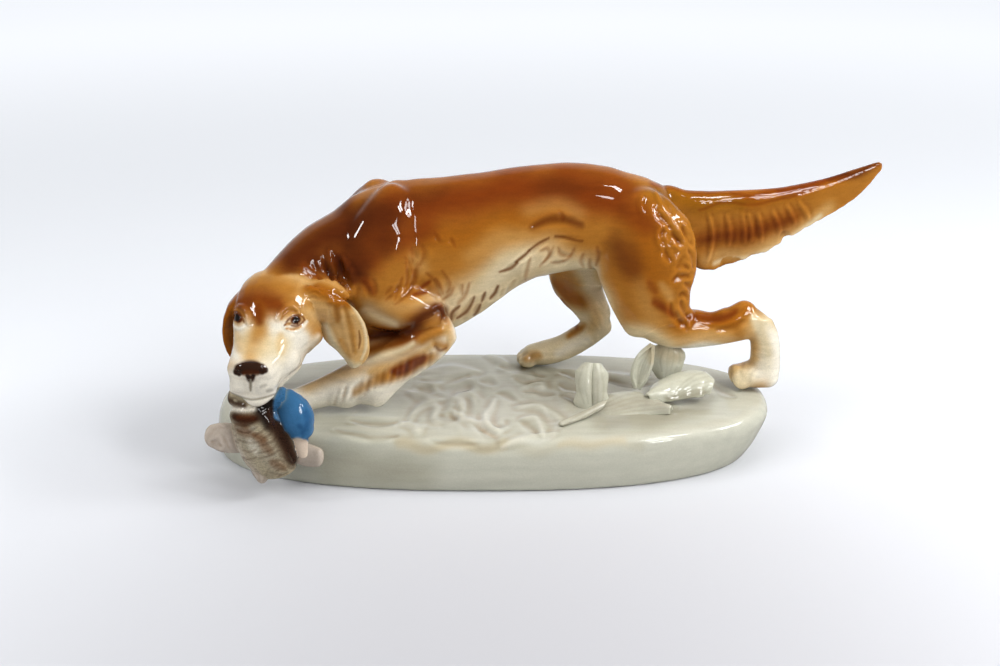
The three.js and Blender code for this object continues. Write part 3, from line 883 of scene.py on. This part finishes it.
# %% Carve the face and the ears
FINE_PIECES = ("dog_head", "dog_ear_left", "dog_ear_right")
FACE_CUTS = table("""
brows head 6 -1.1: 277,320 281,312 289,305 296,308 299,313 / 239,305 244,308 247,316 248,324
brow_folds head 4 0.8: 281,319 285,313 292,310 297,312 / 236,309 241,311 244,317
eyeballs head 7 -1.0: 290,322 299,321 / 237,314 239,321
upper_lids head 2.4 -0.45: 282,324 287,319 296,315 303,317 307,321 / 231,313 236,310 241,314
    245,323
lower_lids head 2.4 -0.45: 283,326 288,330 295,332 302,328 307,322 / 231,320 234,326 239,329
    245,326
lid_lines head 1.7 0.45: 284,326 289,319 296,315.5 302,316.5 305,320.5 / 291,326 296,326.6
    301,324.5 304,321 / 232.5,312 237,311.5 241.5,316 244,322
nostrils head 3 0.9: 235,371 239,372 242,370 / 266,370 262,372 259,370
nose_edge head 2.2 0.7: 233,374 241,375 249,377 258,375 269,373 / 249,376 250,383 250,391
lip_line head 2 0.6: 229,392 238,396 250,399 262,398 275,394 286,388
cheek_fold head 7 0.5: 306,345 300,362 290,378
ear_root_hair face 2.4 0.5: 308,294 314,292 320,295 / 307,299 313,297 318,300 / 318,288 324,292
    330,292 / 343,298 348,301 351,305
ear_root ear 9 -1.0: 329,302 342,305
ear_folds ear 6 0.5: 334,306 338,320 342,336 348,350 / 343,306 348,320 350,338 352,352 / 352,316
    357,330 358,346 / 330,312 333,326 338,342
ear_slit ear 2.2 0.5: 359,331 360,340 359,348
ear_rim ear 3 -0.5: 350,303 359,316 365,331 366,347 362,359
""")


def divide(piece):
    """Four faces for each one, in the same places"""
    modify(piece, "SUBSURF", subdivision_type="SIMPLE", levels=1, render_levels=1)


for node_name in FINE_PIECES:
    piece = dog_pieces[node_name]
    divide(piece)
    carve(piece, dog_casting(places_of(piece)), FACE_CUTS)

# %% Paint the whole dog
FINE_LOOSE = 0.3
# The cream row over the crown's rim is a painted reflection.
# The gold along brow_folds is painted shade in the crease between brow ridge and lid.
FACE_PAINT = table("""
head porcelain 44 1.6: 240,345 290,340 / 236,385 285,380
head straw 34 1.2: 228,296 250,280 280,276 312,300 316,312
head cream 26 1.0: 246,340 262,348 280,345
head gold 26 0.9: 236,292 262,284 290,290
head cream 15 0.7: 240,278 256,266 276,262 296,268
head chestnut 22 0.9: 238,303 258,301 278,304
head amber 13 1.0: 258,306 259,328
head chestnut 10 0.8: 258,306 259,321
head amber 12 0.8: 306,292 322,294 / 230,303 236,306
head gold 10 0.6: 308,304 324,306 / 286,300 300,304
head straw 19 1.1: 260,328 256,342 251,356
head gold 12 0.6: 259,328 257,340
head cream 16 0.6: 276,350 292,352
head cream 18 0.45: 284,350 294,366 / 262,344 262,356
head porcelain 16 1.2: 303,340 294,362 284,384
head porcelain 15 1.0: 236,386 250,392 268,388 / 250,402 262,401
head straw 9 0.5: 280,336 281,352 / 236,334 240,350
head porcelain 8 0.7: 312,345 318,336
head gold 3 0.7: brow_folds
head porcelain 4 0.9: lower_lids
head gold 3 0.8: 286,329 293,330 301,327 / 285,325 290,324
head umber 2.2 0.6: lid_lines
head umber 7.2 2.6: 294.5,321 297,320
head black 4.8 2.2: 295,321 297,320
head umber 6.2 2.6: 236,315.5 239,319.5
head black 4.2 2.2: 237,316 238,319
head sepia 9.5 3.0: 240,369 251,367.5 261,369
head sepia 6 3.0: 236.5,372 241,371.5 / 260,370.5 265,370.5
head umber 6 0.6: 244,373 257,373
head sepia 4.5 1.5: 247.5,376 250.4,379.5 253.5,376
head grey 2.6 1.2: 250.4,380 250.3,390
head grey 2 0.8: lip_line
head grey 3.4 0.5: 261,387 266,385 / 267,391 272,390
ear gold 16 1.2: 304,286 325,292 347,301
ear amber 12 0.8: 310,287 330,294 350,304
ear amber 7 0.6: 331,302 348,305 / 337,306 338,320
ear gold 6 0.6: 346,310 352,330 355,352 / 341,340 350,356
ear cream 9 1.0: 326,326 336,350 352,366 360,366
ear straw 9 0.5: 344,342 352,356
ear umber 2.0 0.5: ear_slit
ear cream 3.4 0.8: ear_rim
""")
for node_name, piece in dog_pieces.items():
    finish_shape(piece)
    loose = FINE_LOOSE if node_name in FINE_PIECES else DOG_LOOSE
    brush(piece, dog_casting(places_of(piece)), BASES, BODY_PAINT + FACE_PAINT, loose=loose)

# %% [markdown]
# ## Glaze
# Porcelain glaze is a thin layer of clear glass over the painted clay. Light comes back twice:
# sharply from the glass, and softly from the clay under it. Principled's base stands for the
# painted clay and its coat for the glass. Brush streaks and a fine sprayed grain vary the
# colour, and a slow waviness bends the reflections as fired glaze does. The real grain is finer
# than a picture can show, so it is drawn at two thirds of a millimetre.

# %% Helpers that set values, start a material and add one shader node
def put_values(made, values):
    """Each name is one of the node's own settings, or a socket written with _ for a space"""
    for name, value in values.items():
        if hasattr(made, name):
            setattr(made, name, value)
        else:
            made.inputs[name.replace("_", " ")].default_value = value


def node(material, kind, links=(), **settings):
    """Adds a shader node, sets its values and sockets, and links sockets into it"""
    made = material.node_tree.nodes.new(kind)
    put_values(made, settings)
    for socket, source in links:
        material.node_tree.links.new(source, made.inputs[socket])
    return made


def new_material(name, **values):
    """A material, and its Principled shader with these values"""
    material = bpy.data.materials.new(name)
    material.use_nodes = True
    shader = material.node_tree.nodes["Principled BSDF"]
    put_values(shader, values)
    return material, shader


# %% Clear glaze over painted clay
CLAY_ROUGHNESS = 0.4
CLAY_IOR = 1.5
GLASS_ROUGHNESS = 0.03
GLASS_IOR = 1.45
SPECK_SIZE = 0.6667
WAVE_SIZE = 9.091
WAVE_DEPTH = 0.3
NOISE_LOW, NOISE_HIGH = 0.6, 1.4


def per_metre(size):
    """How many times a pattern of this size, in millimetres, repeats in a metre"""
    return 1 / (size * MM)


def glaze(name, streaks, grain=0.10, waviness=0.5):
    """streaks: how far apart the brush streaks lie along x, y and z, in millimetres"""
    material, shader = new_material(
        name, Roughness=CLAY_ROUGHNESS, Specular_IOR_Level=0.0, IOR=CLAY_IOR, Coat_Weight=1.0,
        Coat_Roughness=GLASS_ROUGHNESS, Coat_IOR=GLASS_IOR)
    paint = node(material, "ShaderNodeAttribute", attribute_name="underglaze")
    where = node(material, "ShaderNodeTexCoord")
    turned = node(material, "ShaderNodeMapping", Scale=[per_metre(size) for size in streaks],
                  links=[("Vector", where.outputs["Object"])])
    streak = node(material, "ShaderNodeTexNoise", Scale=1.0, Detail=3.0,
                  links=[("Vector", turned.outputs["Vector"])])
    specks = node(material, "ShaderNodeTexNoise", Scale=per_metre(SPECK_SIZE), Detail=2.0,
                  links=[("Vector", where.outputs["Object"])])
    both = node(material, "ShaderNodeMath", operation="ADD",
                links=[(0, streak.outputs["Fac"]), (1, specks.outputs["Fac"])])
    share = node(material, "ShaderNodeMapRange", From_Min=NOISE_LOW, From_Max=NOISE_HIGH,
                 To_Min=1 - grain, To_Max=1 + grain, links=[("Value", both.outputs["Value"])])
    scaled = node(material, "ShaderNodeVectorMath", operation="SCALE",
                  links=[(0, paint.outputs["Color"]), ("Scale", share.outputs["Result"])])
    material.node_tree.links.new(scaled.outputs["Vector"], shader.inputs["Base Color"])
    waves = node(material, "ShaderNodeTexNoise", Scale=per_metre(WAVE_SIZE), Detail=1.0,
                 links=[("Vector", where.outputs["Object"])])
    bump = node(material, "ShaderNodeBump", Strength=waviness, Distance=WAVE_DEPTH * MM,
                links=[("Height", waves.outputs["Fac"])])
    material.node_tree.links.new(bump.outputs["Normal"], shader.inputs["Coat Normal"])
    print("glaze:", name)
    return material


def dress(piece, node_name, material):
    piece.data.materials.clear()
    piece.data.materials.append(material)
    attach(piece, "root")
    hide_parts(node_name)


coat_glaze = glaze("clear_glaze_over_iron_paint", (9.091, 6.25, 2.381), grain=0.16)
for node_name, piece in dog_pieces.items():
    dress(piece, node_name, coat_glaze)

# %% [markdown]
# ## The duck
# The duck is a small casting of its own that hangs from the dog's mouth. Its feathers are cut as
# rows of little arcs. It goes the same way as the dog, with a finer voxel for the finer work.

# %% Join the duck and melt its neck
DUCK_NODES = ("duck_body", "duck_head", "duck_wing_left", "duck_wing_right", "duck_tail")
DUCK_VOXEL = 0.5
DUCK_SOFTEN_ROUNDS = 16
NECK_MIDDLE, NECK_REACH, NECK_ROUNDS = (279, 402), 22, 60
duck = remesh(castings("duck", DUCK_NODES), DUCK_VOXEL)
soften(duck, DUCK_SOFTEN_ROUNDS)
duck_places = places_of(duck)
melted = neighbours_middle(duck, duck_places, NECK_ROUNDS)
melt = 1 - np.linalg.norm(pixels(duck_places) - NECK_MIDDLE, axis=1) / NECK_REACH
put_places(duck, duck_places + (melted - duck_places) * np.clip(melt, 0, 1)[:, None])
print("duck skin:", len(duck.data.vertices), "points")

# %% Carve and part the duck
DUCK_CUTTER_SWELL, DUCK_CUTTER_VOXEL = 1.2, 0.8
duck_casting = casting_finder(DUCK_NODES)
carve(duck, duck_casting(places_of(duck)), table("""
breast_arcs duck_body 2.2 0.28: 233,418 242,421 253,417 / 233,423 243,426 254,422 / 236,430 246,433
    258,427 / 254,436 263,431 269,427 / 237,440 250,443 261,441 / 259,446 268,444 275,439 / 257,453
    268,451 276,446 / 259,458 269,456 278,451 / 226,423 229,428 234,430 / 230,439 238,443 / 231,443
    237,447 / 243,450 250,452 256,449 / 241,457 249,459 256,457 / 227,432 231,436 236,436 / 264,438
    270,435 273,431
rump_arcs duck_body 2.2 0.28: 273,467 279,465 284,467 / 276,471 281,469 287,471 / 270,472 275,474
    281,475 / 284,460 289,461 293,465 / 273,461 279,460 284,462 / 288,467 291,469 294,468 / 277,477
    283,475 288,473 / 279,456 284,457 288,460
tail_folds fan 3 0.6: 239,464 250,472 256,479 / 272,464 266,474 263,482 / 254,469 258,475 260,482 /
    246,461 252,468 257,470
neck_ring_line duck_body 3 0.6: 230,413 246,414 262,411 271,406
dark_strip duck_body 8 0.6: 272,409 277,427 285,444 293,460
wing_rim wings 4 -0.7: 204,447 205,438 209,430 218,424 226,427
wing_hollow wings 9 1.2: 212,442 220,446
wing_folds wings 3 0.5: 211,449 222,452 234,457 / 221,433 226,442 230,450
bill_line duck_head 2.5 0.5: 286,437 297,439 307,434
"""))
duck_pieces = {}
for node_name in DUCK_NODES[1:]:
    duck_pieces[node_name] = part_off(
        duck, node_name, DUCK_CUTTER_SWELL, DUCK_CUTTER_VOXEL)
duck.name = duck.data.name = "duck_body_glazed"
duck_pieces["duck_body"] = duck

# %% Paint and glaze the duck
DUCK_LOOSE = 0.4
# The black rows under the dog's chin and the sepia along dark_strip are partly the duck's dark
# feathers and partly painted shade under the chin and on the duck's side.
DUCK_PAINT = table("""
duck_body porcelain 8 1.0: 222,404 236,409 254,408
duck_body blush 14 0.7: 232,440 240,458 255,475
duck_body grey 20 0.7: 236,420 246,436 262,450 274,462
duck_body sepia 11 1.0: 235,417 245,420 257,418
duck_body umber 8 0.5: 238,427 248,429 / 256,436 264,440
duck_body umber 7 0.6: 237,418 254,418
duck_body grey 6 0.7: 238,428 246,431 254,428
duck_body black 12 1.5: 258,408 265,414 270,426
duck_body sepia 14 1.3: dark_strip
duck_body umber 8 0.35: 240,432 252,434 / 262,444 270,452 / 272,462 284,468
duck_body porcelain 8 0.5: 228,430 232,446 240,456 / 250,442 256,452
duck_body sepia 2.4 0.2: breast_arcs / rump_arcs
duck_body black 8 1.5: 262,406 272,402
duck_body blue 10 3.0: 287,387 283,396 281,404 280,416
duck_body sepia 7 0.8: 226,391 226,399 235,403 244,405
duck_body drab 3 0.9: 230,394 231,396 / 234,400 236,401
fan blush 8 0.8: 246,468 258,480
duck_head deep_blue 6 0.6: 299,426 300,427 / 306,412 308,422 302,433
duck_head bill 9 3.0: 292,444 303,444 / 297,450 301,460 / 304,444 306,456
""")
DUCK_BASES = {
    "duck_body": "drab", "duck_head": "blue", "duck_wing_left": "blush",
    "duck_wing_right": "blush", "duck_tail": "blush",
}
feather_glaze = glaze("clear_glaze_over_brown_feathers", (1.6667, 1.6667, 0.7692), grain=0.35)
pale_feather_glaze = glaze("clear_glaze_over_pale_feathers", (3.333, 3.333, 3.333))
cobalt_glaze = glaze("clear_glaze_over_cobalt", (5, 5, 5))
duck_glazes = {"duck_body": feather_glaze, "duck_head": cobalt_glaze}
for node_name, piece in duck_pieces.items():
    finish_shape(piece)
    brush(piece, duck_casting(places_of(piece)), DUCK_BASES, DUCK_PAINT, loose=DUCK_LOOSE)
    dress(piece, node_name, duck_glazes.get(node_name, pale_feather_glaze))

# %% [markdown]
# ## The plinth
# The ground is modelled over an oval block: low drapery-like folds, dips and finger marks, with
# a smooth wall below. It keeps the casting's hollow underside and foot ring.

# %% Carve the ground
PLINTH_VOXEL = 1.1
PLINTH_SOFTEN_ROUNDS = 18
PLINTH_SPONGE_ROUNDS = 2
plinth = remesh(castings("plinth_glazed", ["plinth"], swell=0), PLINTH_VOXEL)
soften(plinth, PLINTH_SOFTEN_ROUNDS)
plinth_casting = np.full(len(plinth.data.vertices), "plinth")
carve(plinth, plinth_casting, table("""
ground_ridges plinth 7 -1.6: 452,398 459,394 473,396 480,410 487,424 497,431 507,428 / 495,399
    490,410 487,419 490,428 499,432 / 453,411 462,418 473,421 484,427 / 452,400 461,400 460,412
    453,411 452,405 / 522,419 535,418 543,427 540,434 / 516,407 535,406 549,412 560,419 558,427 /
    530,385 538,384 543,386 536,388 / 400,423 414,426 418,431 424,425 / 408,423 417,409 428,403
    436,407 434,418 440,423 / 487,356 497,358 507,364 / 408,392 425,397 442,400 / 556,433 520,440
    500,447 / 600,372 630,378 650,377 / 420,372 450,368 480,372
ground_grooves plinth 6 1.5: 473,423 484,429 496,437 497,444 / 476,398 479,408 482,419 / 521,423
    529,427 540,433 / 523,391 535,390 541,393 554,394 / 480,381 490,382 495,384 / 514,378 526,381
    540,381 / 498,393 507,396 515,400 / 418,388 428,389 434,391 / 440,415 450,418 458,417 / 430,440
    450,444 480,444 / 560,395 572,398 580,402 / 600,378 630,384 652,384 / 500,366 520,370 545,376 /
    560,372 580,378 600,380 / 505,420 508,424 / 690,396 700,394 706,392 / 420,380 445,380 470,376 /
    350,420 375,424 398,422 / 335,430 365,436 400,436 / 710,382 720,390 735,396
ground_dips plinth 14 2.0: 440,388 470,386 / 560,384 580,390 / 452,414 458,412
"""))
soften(plinth, PLINTH_SPONGE_ROUNDS)
finish_shape(plinth)

# %% Paint and glaze the ground
SLIP_POOLING = 0.6
GROUND_LOOSE = 3
# The slip_dark along the grooves is painted shade, and the slip_light along the ridges is a
# painted highlight.
# The wide slip_dark low on the front wall is painted shade, darker towards the wall's foot.
brush(plinth, plinth_casting, {"plinth": "slip"}, table("""
plinth slip_light 30 0.6: 480,420 500,410
plinth slip_dark 40 0.5: 335,465 380,471 420,475
plinth slip_dark 21 0.75: 604,419 650,416 700,405
plinth straw 9 0.16: 400,446 450,449 500,447 / 560,446 620,440
plinth grey 44 0.35: 420,402 480,408 540,406 600,396
plinth drab 11 0.25: 470,444 560,447 640,441
plinth drab 11 0.6: 398,442 436,445 470,446 502,441
plinth slip_dark 4 0.35: ground_grooves
plinth slip_light 4 0.25: ground_ridges
"""), pooling=SLIP_POOLING, loose=GROUND_LOOSE)
slip_glaze = glaze("clear_glaze_over_pale_slip", (25, 3.846, 3.846))
dress(plinth, "plinth", slip_glaze)

# %% [markdown]
# ## Leaves and twig
# The leaves are thin slips of clay pinched to shape, with veins drawn by a needle. Each starts
# as a flat grid, is bent along its middle vein and cupped, and then gets its thickness.

# %% Bend a thin sheet into a leaf
LEAF_GRID = (24, 40)
LEAF_STEPS = 12
LEAF_THICKNESS = 2.2
EDGE_RIPPLE, RIPPLE_TURNS = 0.04, 11
VEIN_GROOVE, GROOVE_WIDTH = 0.3, 0.1


def bent_sheet(name, spine, half_widths, facing, cup, crease=0.0):
    """spine: pixels and depths along the middle vein; facing: the side the leaf shows"""
    bpy.ops.object.select_all(action="DESELECT")
    bpy.ops.mesh.primitive_grid_add(x_subdivisions=LEAF_GRID[0], y_subdivisions=LEAF_GRID[1],
                                    size=2)
    sheet = bpy.context.object
    sheet.name = sheet.data.name = name
    flat = np.array([v.co for v in sheet.data.vertices])
    side, part = flat[:, 0], (flat[:, 1] + 1) / 2
    line = smooth_line([spot(*point) for point in strokes_in(spine)[0]], steps=LEAF_STEPS)
    marks = np.linspace(0, 1, len(line))
    middle = np.stack([np.interp(part, marks, line[:, axis]) for axis in range(3)], 1)
    slope = np.gradient(line, axis=0)
    along = np.stack([np.interp(part, marks, slope[:, axis]) for axis in range(3)], 1)
    along /= np.linalg.norm(along, axis=1)[:, None]
    across = np.cross(np.array(facing, float), along)
    across /= np.linalg.norm(across, axis=1)[:, None]
    outward = np.cross(along, across)
    width = np.interp(part, np.linspace(0, 1, len(half_widths)), half_widths)
    width = width * (1 + EDGE_RIPPLE * np.sin(part * RIPPLE_TURNS) * abs(side))
    lobes = crease * (1 - (2 * abs(side) - 1) ** 2)
    groove = VEIN_GROOVE * np.exp(-(side / GROOVE_WIDTH) ** 2)
    raise_by = cup * side ** 2 + lobes - groove
    places = middle + across * (side * width)[:, None] + outward * raise_by[:, None]
    put_places(sheet, places)
    modify(sheet, "SOLIDIFY", thickness=LEAF_THICKNESS * MM, offset=0)
    modify(sheet, "SUBSURF", levels=2, render_levels=2)
    pick(sheet)
    bpy.ops.object.mode_set(mode="EDIT")
    bpy.ops.mesh.select_all(action="SELECT")
    bpy.ops.mesh.normals_make_consistent(inside=False)
    bpy.ops.object.mode_set(mode="OBJECT")
    return sheet


UP, LEANING_UP, TO_US = (0, -0.3, 1), (0.1, -0.45, 1), (0, -1, 0.25)
LEAF_SHAPES = {
    "leaf_flat": (
        "593,412,-25 614,405,-21 640,402,-19 671,407,-27", (3, 10, 13, 12, 7, 1.5), UP, -3.5),
    "leaf_curled": (
        "648,395,-18 668,386,-12 688,380,-8 703,379,-7 714,383,-8",
        (2, 7, 9.5, 10, 9, 5), LEANING_UP, -4.5),
    "leaf_upright": (
        "592,412,-19 592,396,-17 592,378,-14 593,363,-10",
        (7, 9.5, 8.2, 8.6, 8.4, 4.5), TO_US, -3.2, 1.8),
    "leaf_narrow": (
        "637,388,-1 640,372,0 645,358,1 652,344,3", (1, 4.2, 5.4, 5, 3.2, 0.5), TO_US, 2.6),
    "leaf_prop": (
        "664,380,4 667,366,4 669,354,5 671,344,7", (3, 8, 9.5, 9.5, 8.5, 4), TO_US, -2.4),
}
leaves = {name: bent_sheet(name + "_glazed", *shape) for name, shape in LEAF_SHAPES.items()}
print("leaves:", {name: len(leaf.data.polygons) for name, leaf in leaves.items()})

# %% Veins, paint and glaze of the leaves and the twig
TWIG_VOXEL = 0.5
TWIG_SWELL = 0.1
TWIG_SOFTEN_ROUNDS = 8
twig = remesh(castings("twig_glazed", ["twig"], swell=TWIG_SWELL), TWIG_VOXEL)
soften(twig, TWIG_SOFTEN_ROUNDS)
leaves["twig"] = twig
LEAF_VEINS = {
    "leaf_flat": combed("600,406 620,396 640,393 / 606,414 640,411 666,408", 5),
    "leaf_curled": combed("668,398 690,378 708,371 / 672,402 692,396 713,390", 5),
    "leaf_upright": combed("584,404 579,385 583,367 / 601,404 604,385 601,368", 5),
    "leaf_narrow": combed("638,384 639,366 649,349 / 641,384 648,366 653,350", 4),
    "leaf_prop": combed("662,372 660,360 664,348 / 676,370 680,360 678,348", 4),
    "twig": strokes_in("560,430 578,416 598,404"),
}
VEIN_CUT = (2.4, 0.12)
VEIN_TINT = ("slip_dark", 2, 0.18)
# The slip_dark row on the curled leaf is painted shade in the hollow under its roll.
LEAF_TINTS = table("""
leaf_prop straw 16 0.3: 660,352 676,356
leaf_narrow straw 12 0.3: 650,346 652,360
leaf_curled slip_dark 9 0.7: 668,398 690,395 702,392
twig_leaf grey 20 0.5: 560,428 590,410 630,404 662,404
leaf_upright grey 16 0.3: 596,400 598,380
""")
LEAF_LOOSE = 0.5
LEAF_WAVINESS = 2.4
leaf_glaze = glaze("clear_glaze_over_leaf_slip", (5, 5, 5), waviness=LEAF_WAVINESS)
for node_name, leaf in leaves.items():
    here = np.full(len(leaf.data.vertices), node_name)
    veins = LEAF_VEINS[node_name]
    carve(leaf, here, [("veins", node_name, *VEIN_CUT, veins)])
    finish_shape(leaf)
    tints = LEAF_TINTS + [(node_name, *VEIN_TINT, veins)]
    brush(leaf, here, {node_name: "leaf_slip"}, tints, pooling=SLIP_POOLING, loose=LEAF_LOOSE)
    dress(leaf, node_name, leaf_glaze)

# %% [markdown]
# ## Stage
# A plain pale floor, lit softly from above and behind, as on a photographer's table. The paper's
# colour is painted darker near the figurine, as painted shade, and it grows brighter with the
# distance. The backdrop and the far floor give off light of their own, so they show as even
# white, but they aren't mirrored in the glaze.

# %% Floor
FLOOR_SIZE = 8
PAPER_ROUGHNESS = 0.9
SHADE_MIDDLE = (0, -0.30, 0)
SWEEP_FROM, SWEEP_TO = 0.05, 0.6
GLOW_FROM, GLOW_TO, GLOW_MOST = 0.35, 1.9, 0.8
# The near paper colour is painted shade; the far one is the lit paper.
PAPER_IN_PAINTED_SHADE, PAPER_FAR = "#b8b8bc", "#eff2f7"

bpy.ops.object.select_all(action="DESELECT")
bpy.ops.mesh.primitive_plane_add(size=FLOOR_SIZE, location=(0, 0, 0))
floor = bpy.context.object
floor.name = "floor"
paper, paper_shader = new_material(
    "paper_with_painted_shade_and_glow", Roughness=PAPER_ROUGHNESS, Emission_Strength=1.0)
floor_place = node(paper, "ShaderNodeTexCoord")
floor_way = node(paper, "ShaderNodeVectorMath", operation="DISTANCE",
                 links=[(0, floor_place.outputs["Object"])])
floor_way.inputs[1].default_value = SHADE_MIDDLE
sweep = node(paper, "ShaderNodeMapRange", interpolation_type="SMOOTHSTEP", From_Min=SWEEP_FROM,
             From_Max=SWEEP_TO, links=[("Value", floor_way.outputs["Value"])])
paper_tone = node(paper, "ShaderNodeMix", data_type="RGBA",
                  links=[("Factor", sweep.outputs["Result"])])
SHOWN_COLOURS = {"A": linear(PAPER_IN_PAINTED_SHADE), "B": linear(PAPER_FAR)}
for socket in paper_tone.inputs:
    if socket.type == "RGBA":
        socket.default_value = (*SHOWN_COLOURS[socket.name], 1)
tone_out = [out for out in paper_tone.outputs if out.type == "RGBA"][0]
paper.node_tree.links.new(tone_out, paper_shader.inputs["Base Color"])
glow = node(paper, "ShaderNodeMapRange", interpolation_type="SMOOTHSTEP", From_Min=GLOW_FROM,
            From_Max=GLOW_TO, To_Max=GLOW_MOST, links=[("Value", floor_way.outputs["Value"])])
glow_tone = node(paper, "ShaderNodeVectorMath", operation="SCALE",
                 links=[(0, tone_out), ("Scale", glow.outputs["Result"])])
paper.node_tree.links.new(glow_tone.outputs["Vector"], paper_shader.inputs["Emission Color"])
floor.data.materials.append(paper)
floor.visible_glossy = False

# %% Backdrop
WALL_RADIUS, WALL_HEIGHT, WALL_SIDES = 3.9, 6, 96
WALL_COLOUR, WALL_GLOW = "#f3f5f9", 0.97

bpy.ops.object.select_all(action="DESELECT")
bpy.ops.mesh.primitive_cylinder_add(vertices=WALL_SIDES, radius=WALL_RADIUS, depth=WALL_HEIGHT,
                                    end_fill_type="NOTHING", location=(0, 0, WALL_HEIGHT / 2))
wall = bpy.context.object
wall.name = "backdrop"
lit_paper, _ = new_material(
    "lit_white_paper", Base_Color=(0, 0, 0, 1), Specular_IOR_Level=0,
    Emission_Color=(*linear(WALL_COLOUR), 1), Emission_Strength=WALL_GLOW)
wall.data.materials.append(lit_paper)
wall.visible_glossy = wall.visible_diffuse = wall.visible_shadow = False

# %% Sky
BRIGHT_SIDE = (0, 0.99, 0.1)
SKY_FROM, SKY_TO, SKY_LEAST, SKY_MOST = 0.45, 0.97, 0.1, 0.9
SKY_COLOUR = "#f6f7fa"
world = bpy.data.worlds.new("studio")
bpy.context.scene.world = world
world.use_nodes = True
sky = world.node_tree.nodes["Background"]
sky.inputs["Color"].default_value = (*linear(SKY_COLOUR), 1)
sky_direction = node(world, "ShaderNodeTexCoord")
sky_level = node(world, "ShaderNodeVectorMath", operation="DOT_PRODUCT",
                 links=[(0, sky_direction.outputs["Generated"])])
sky_level.inputs[1].default_value = BRIGHT_SIDE
sky_strength = node(world, "ShaderNodeMapRange", From_Min=SKY_FROM, From_Max=SKY_TO,
                    To_Min=SKY_LEAST, To_Max=SKY_MOST,
                    links=[("Value", sky_level.outputs["Value"])])
world.node_tree.links.new(sky_strength.outputs["Result"], sky.inputs["Strength"])
bpy.context.scene.view_settings.view_transform = "Standard"

# %% [markdown]
# ## Lamps and windows
# Three big softboxes light the clay without showing in the glaze. The sharp glints in the glaze
# are windows: pairs of panes, placed so that they are mirrored near the photograph's highlights.

# %% Lamps
def lamp_panel(name, place, target, size, power, mirrored_in_glaze):
    """A glowing rectangle in plinth millimetres that faces its target"""
    start, end = at(*place), at(*target)
    turn = (end - start).to_track_quat("-Z", "Y").to_euler()
    bpy.ops.object.light_add(type="AREA", location=start, rotation=turn)
    lamp = bpy.context.object
    lamp.name = lamp.data.name = name
    lamp.data.shape = "RECTANGLE"
    lamp.data.size, lamp.data.size_y = (side * MM for side in size)
    lamp.data.energy = power
    lamp.visible_glossy = mirrored_in_glaze


SOFTBOXES = (
    ("softbox_left", (-700, -600, 700), (-40, 0, 80), (500, 500), 3.4),
    ("softbox_right", (750, -500, 650), (60, 0, 80), (500, 500), 1.9),
    ("softbox_top", (0, 100, 900), (0, 0, 80), (900, 600), 3.3),
)
WINDOWS = (
    ("window_right", (520, -330, 860), (0, 0, 80), (52, 190), 1.0, 76),
    ("window_left", (-740, -220, 640), (-100, -40, 90), (46, 150), 0.75, 66),
    ("window_tall", (490, -620, 600), (20, 0, 80), (56, 360), 1.1, 84),
    ("window_low", (560, -760, 300), (60, 0, 80), (34, 110), 0.36, 50),
    ("window_side", (830, -150, 730), (120, -30, 40), (74, 290), 1.0, 104),
    ("window_wide", (930, -90, 760), (130, -30, 30), (210, 70), 1.3, 230),
)
for softbox in SOFTBOXES:
    lamp_panel(*softbox, False)
for name, place, target, size, power, apart in WINDOWS:
    for side, pane in ((-0.5, "a"), (0.5, "b")):
        aside = Vector((-place[1], place[0], 0)).normalized() * apart * side
        lamp_panel(name + "_" + pane, Vector(place) + aside, target, size, power, True)
print("lamps:", len(SOFTBOXES), "softboxes and", len(WINDOWS), "windows")
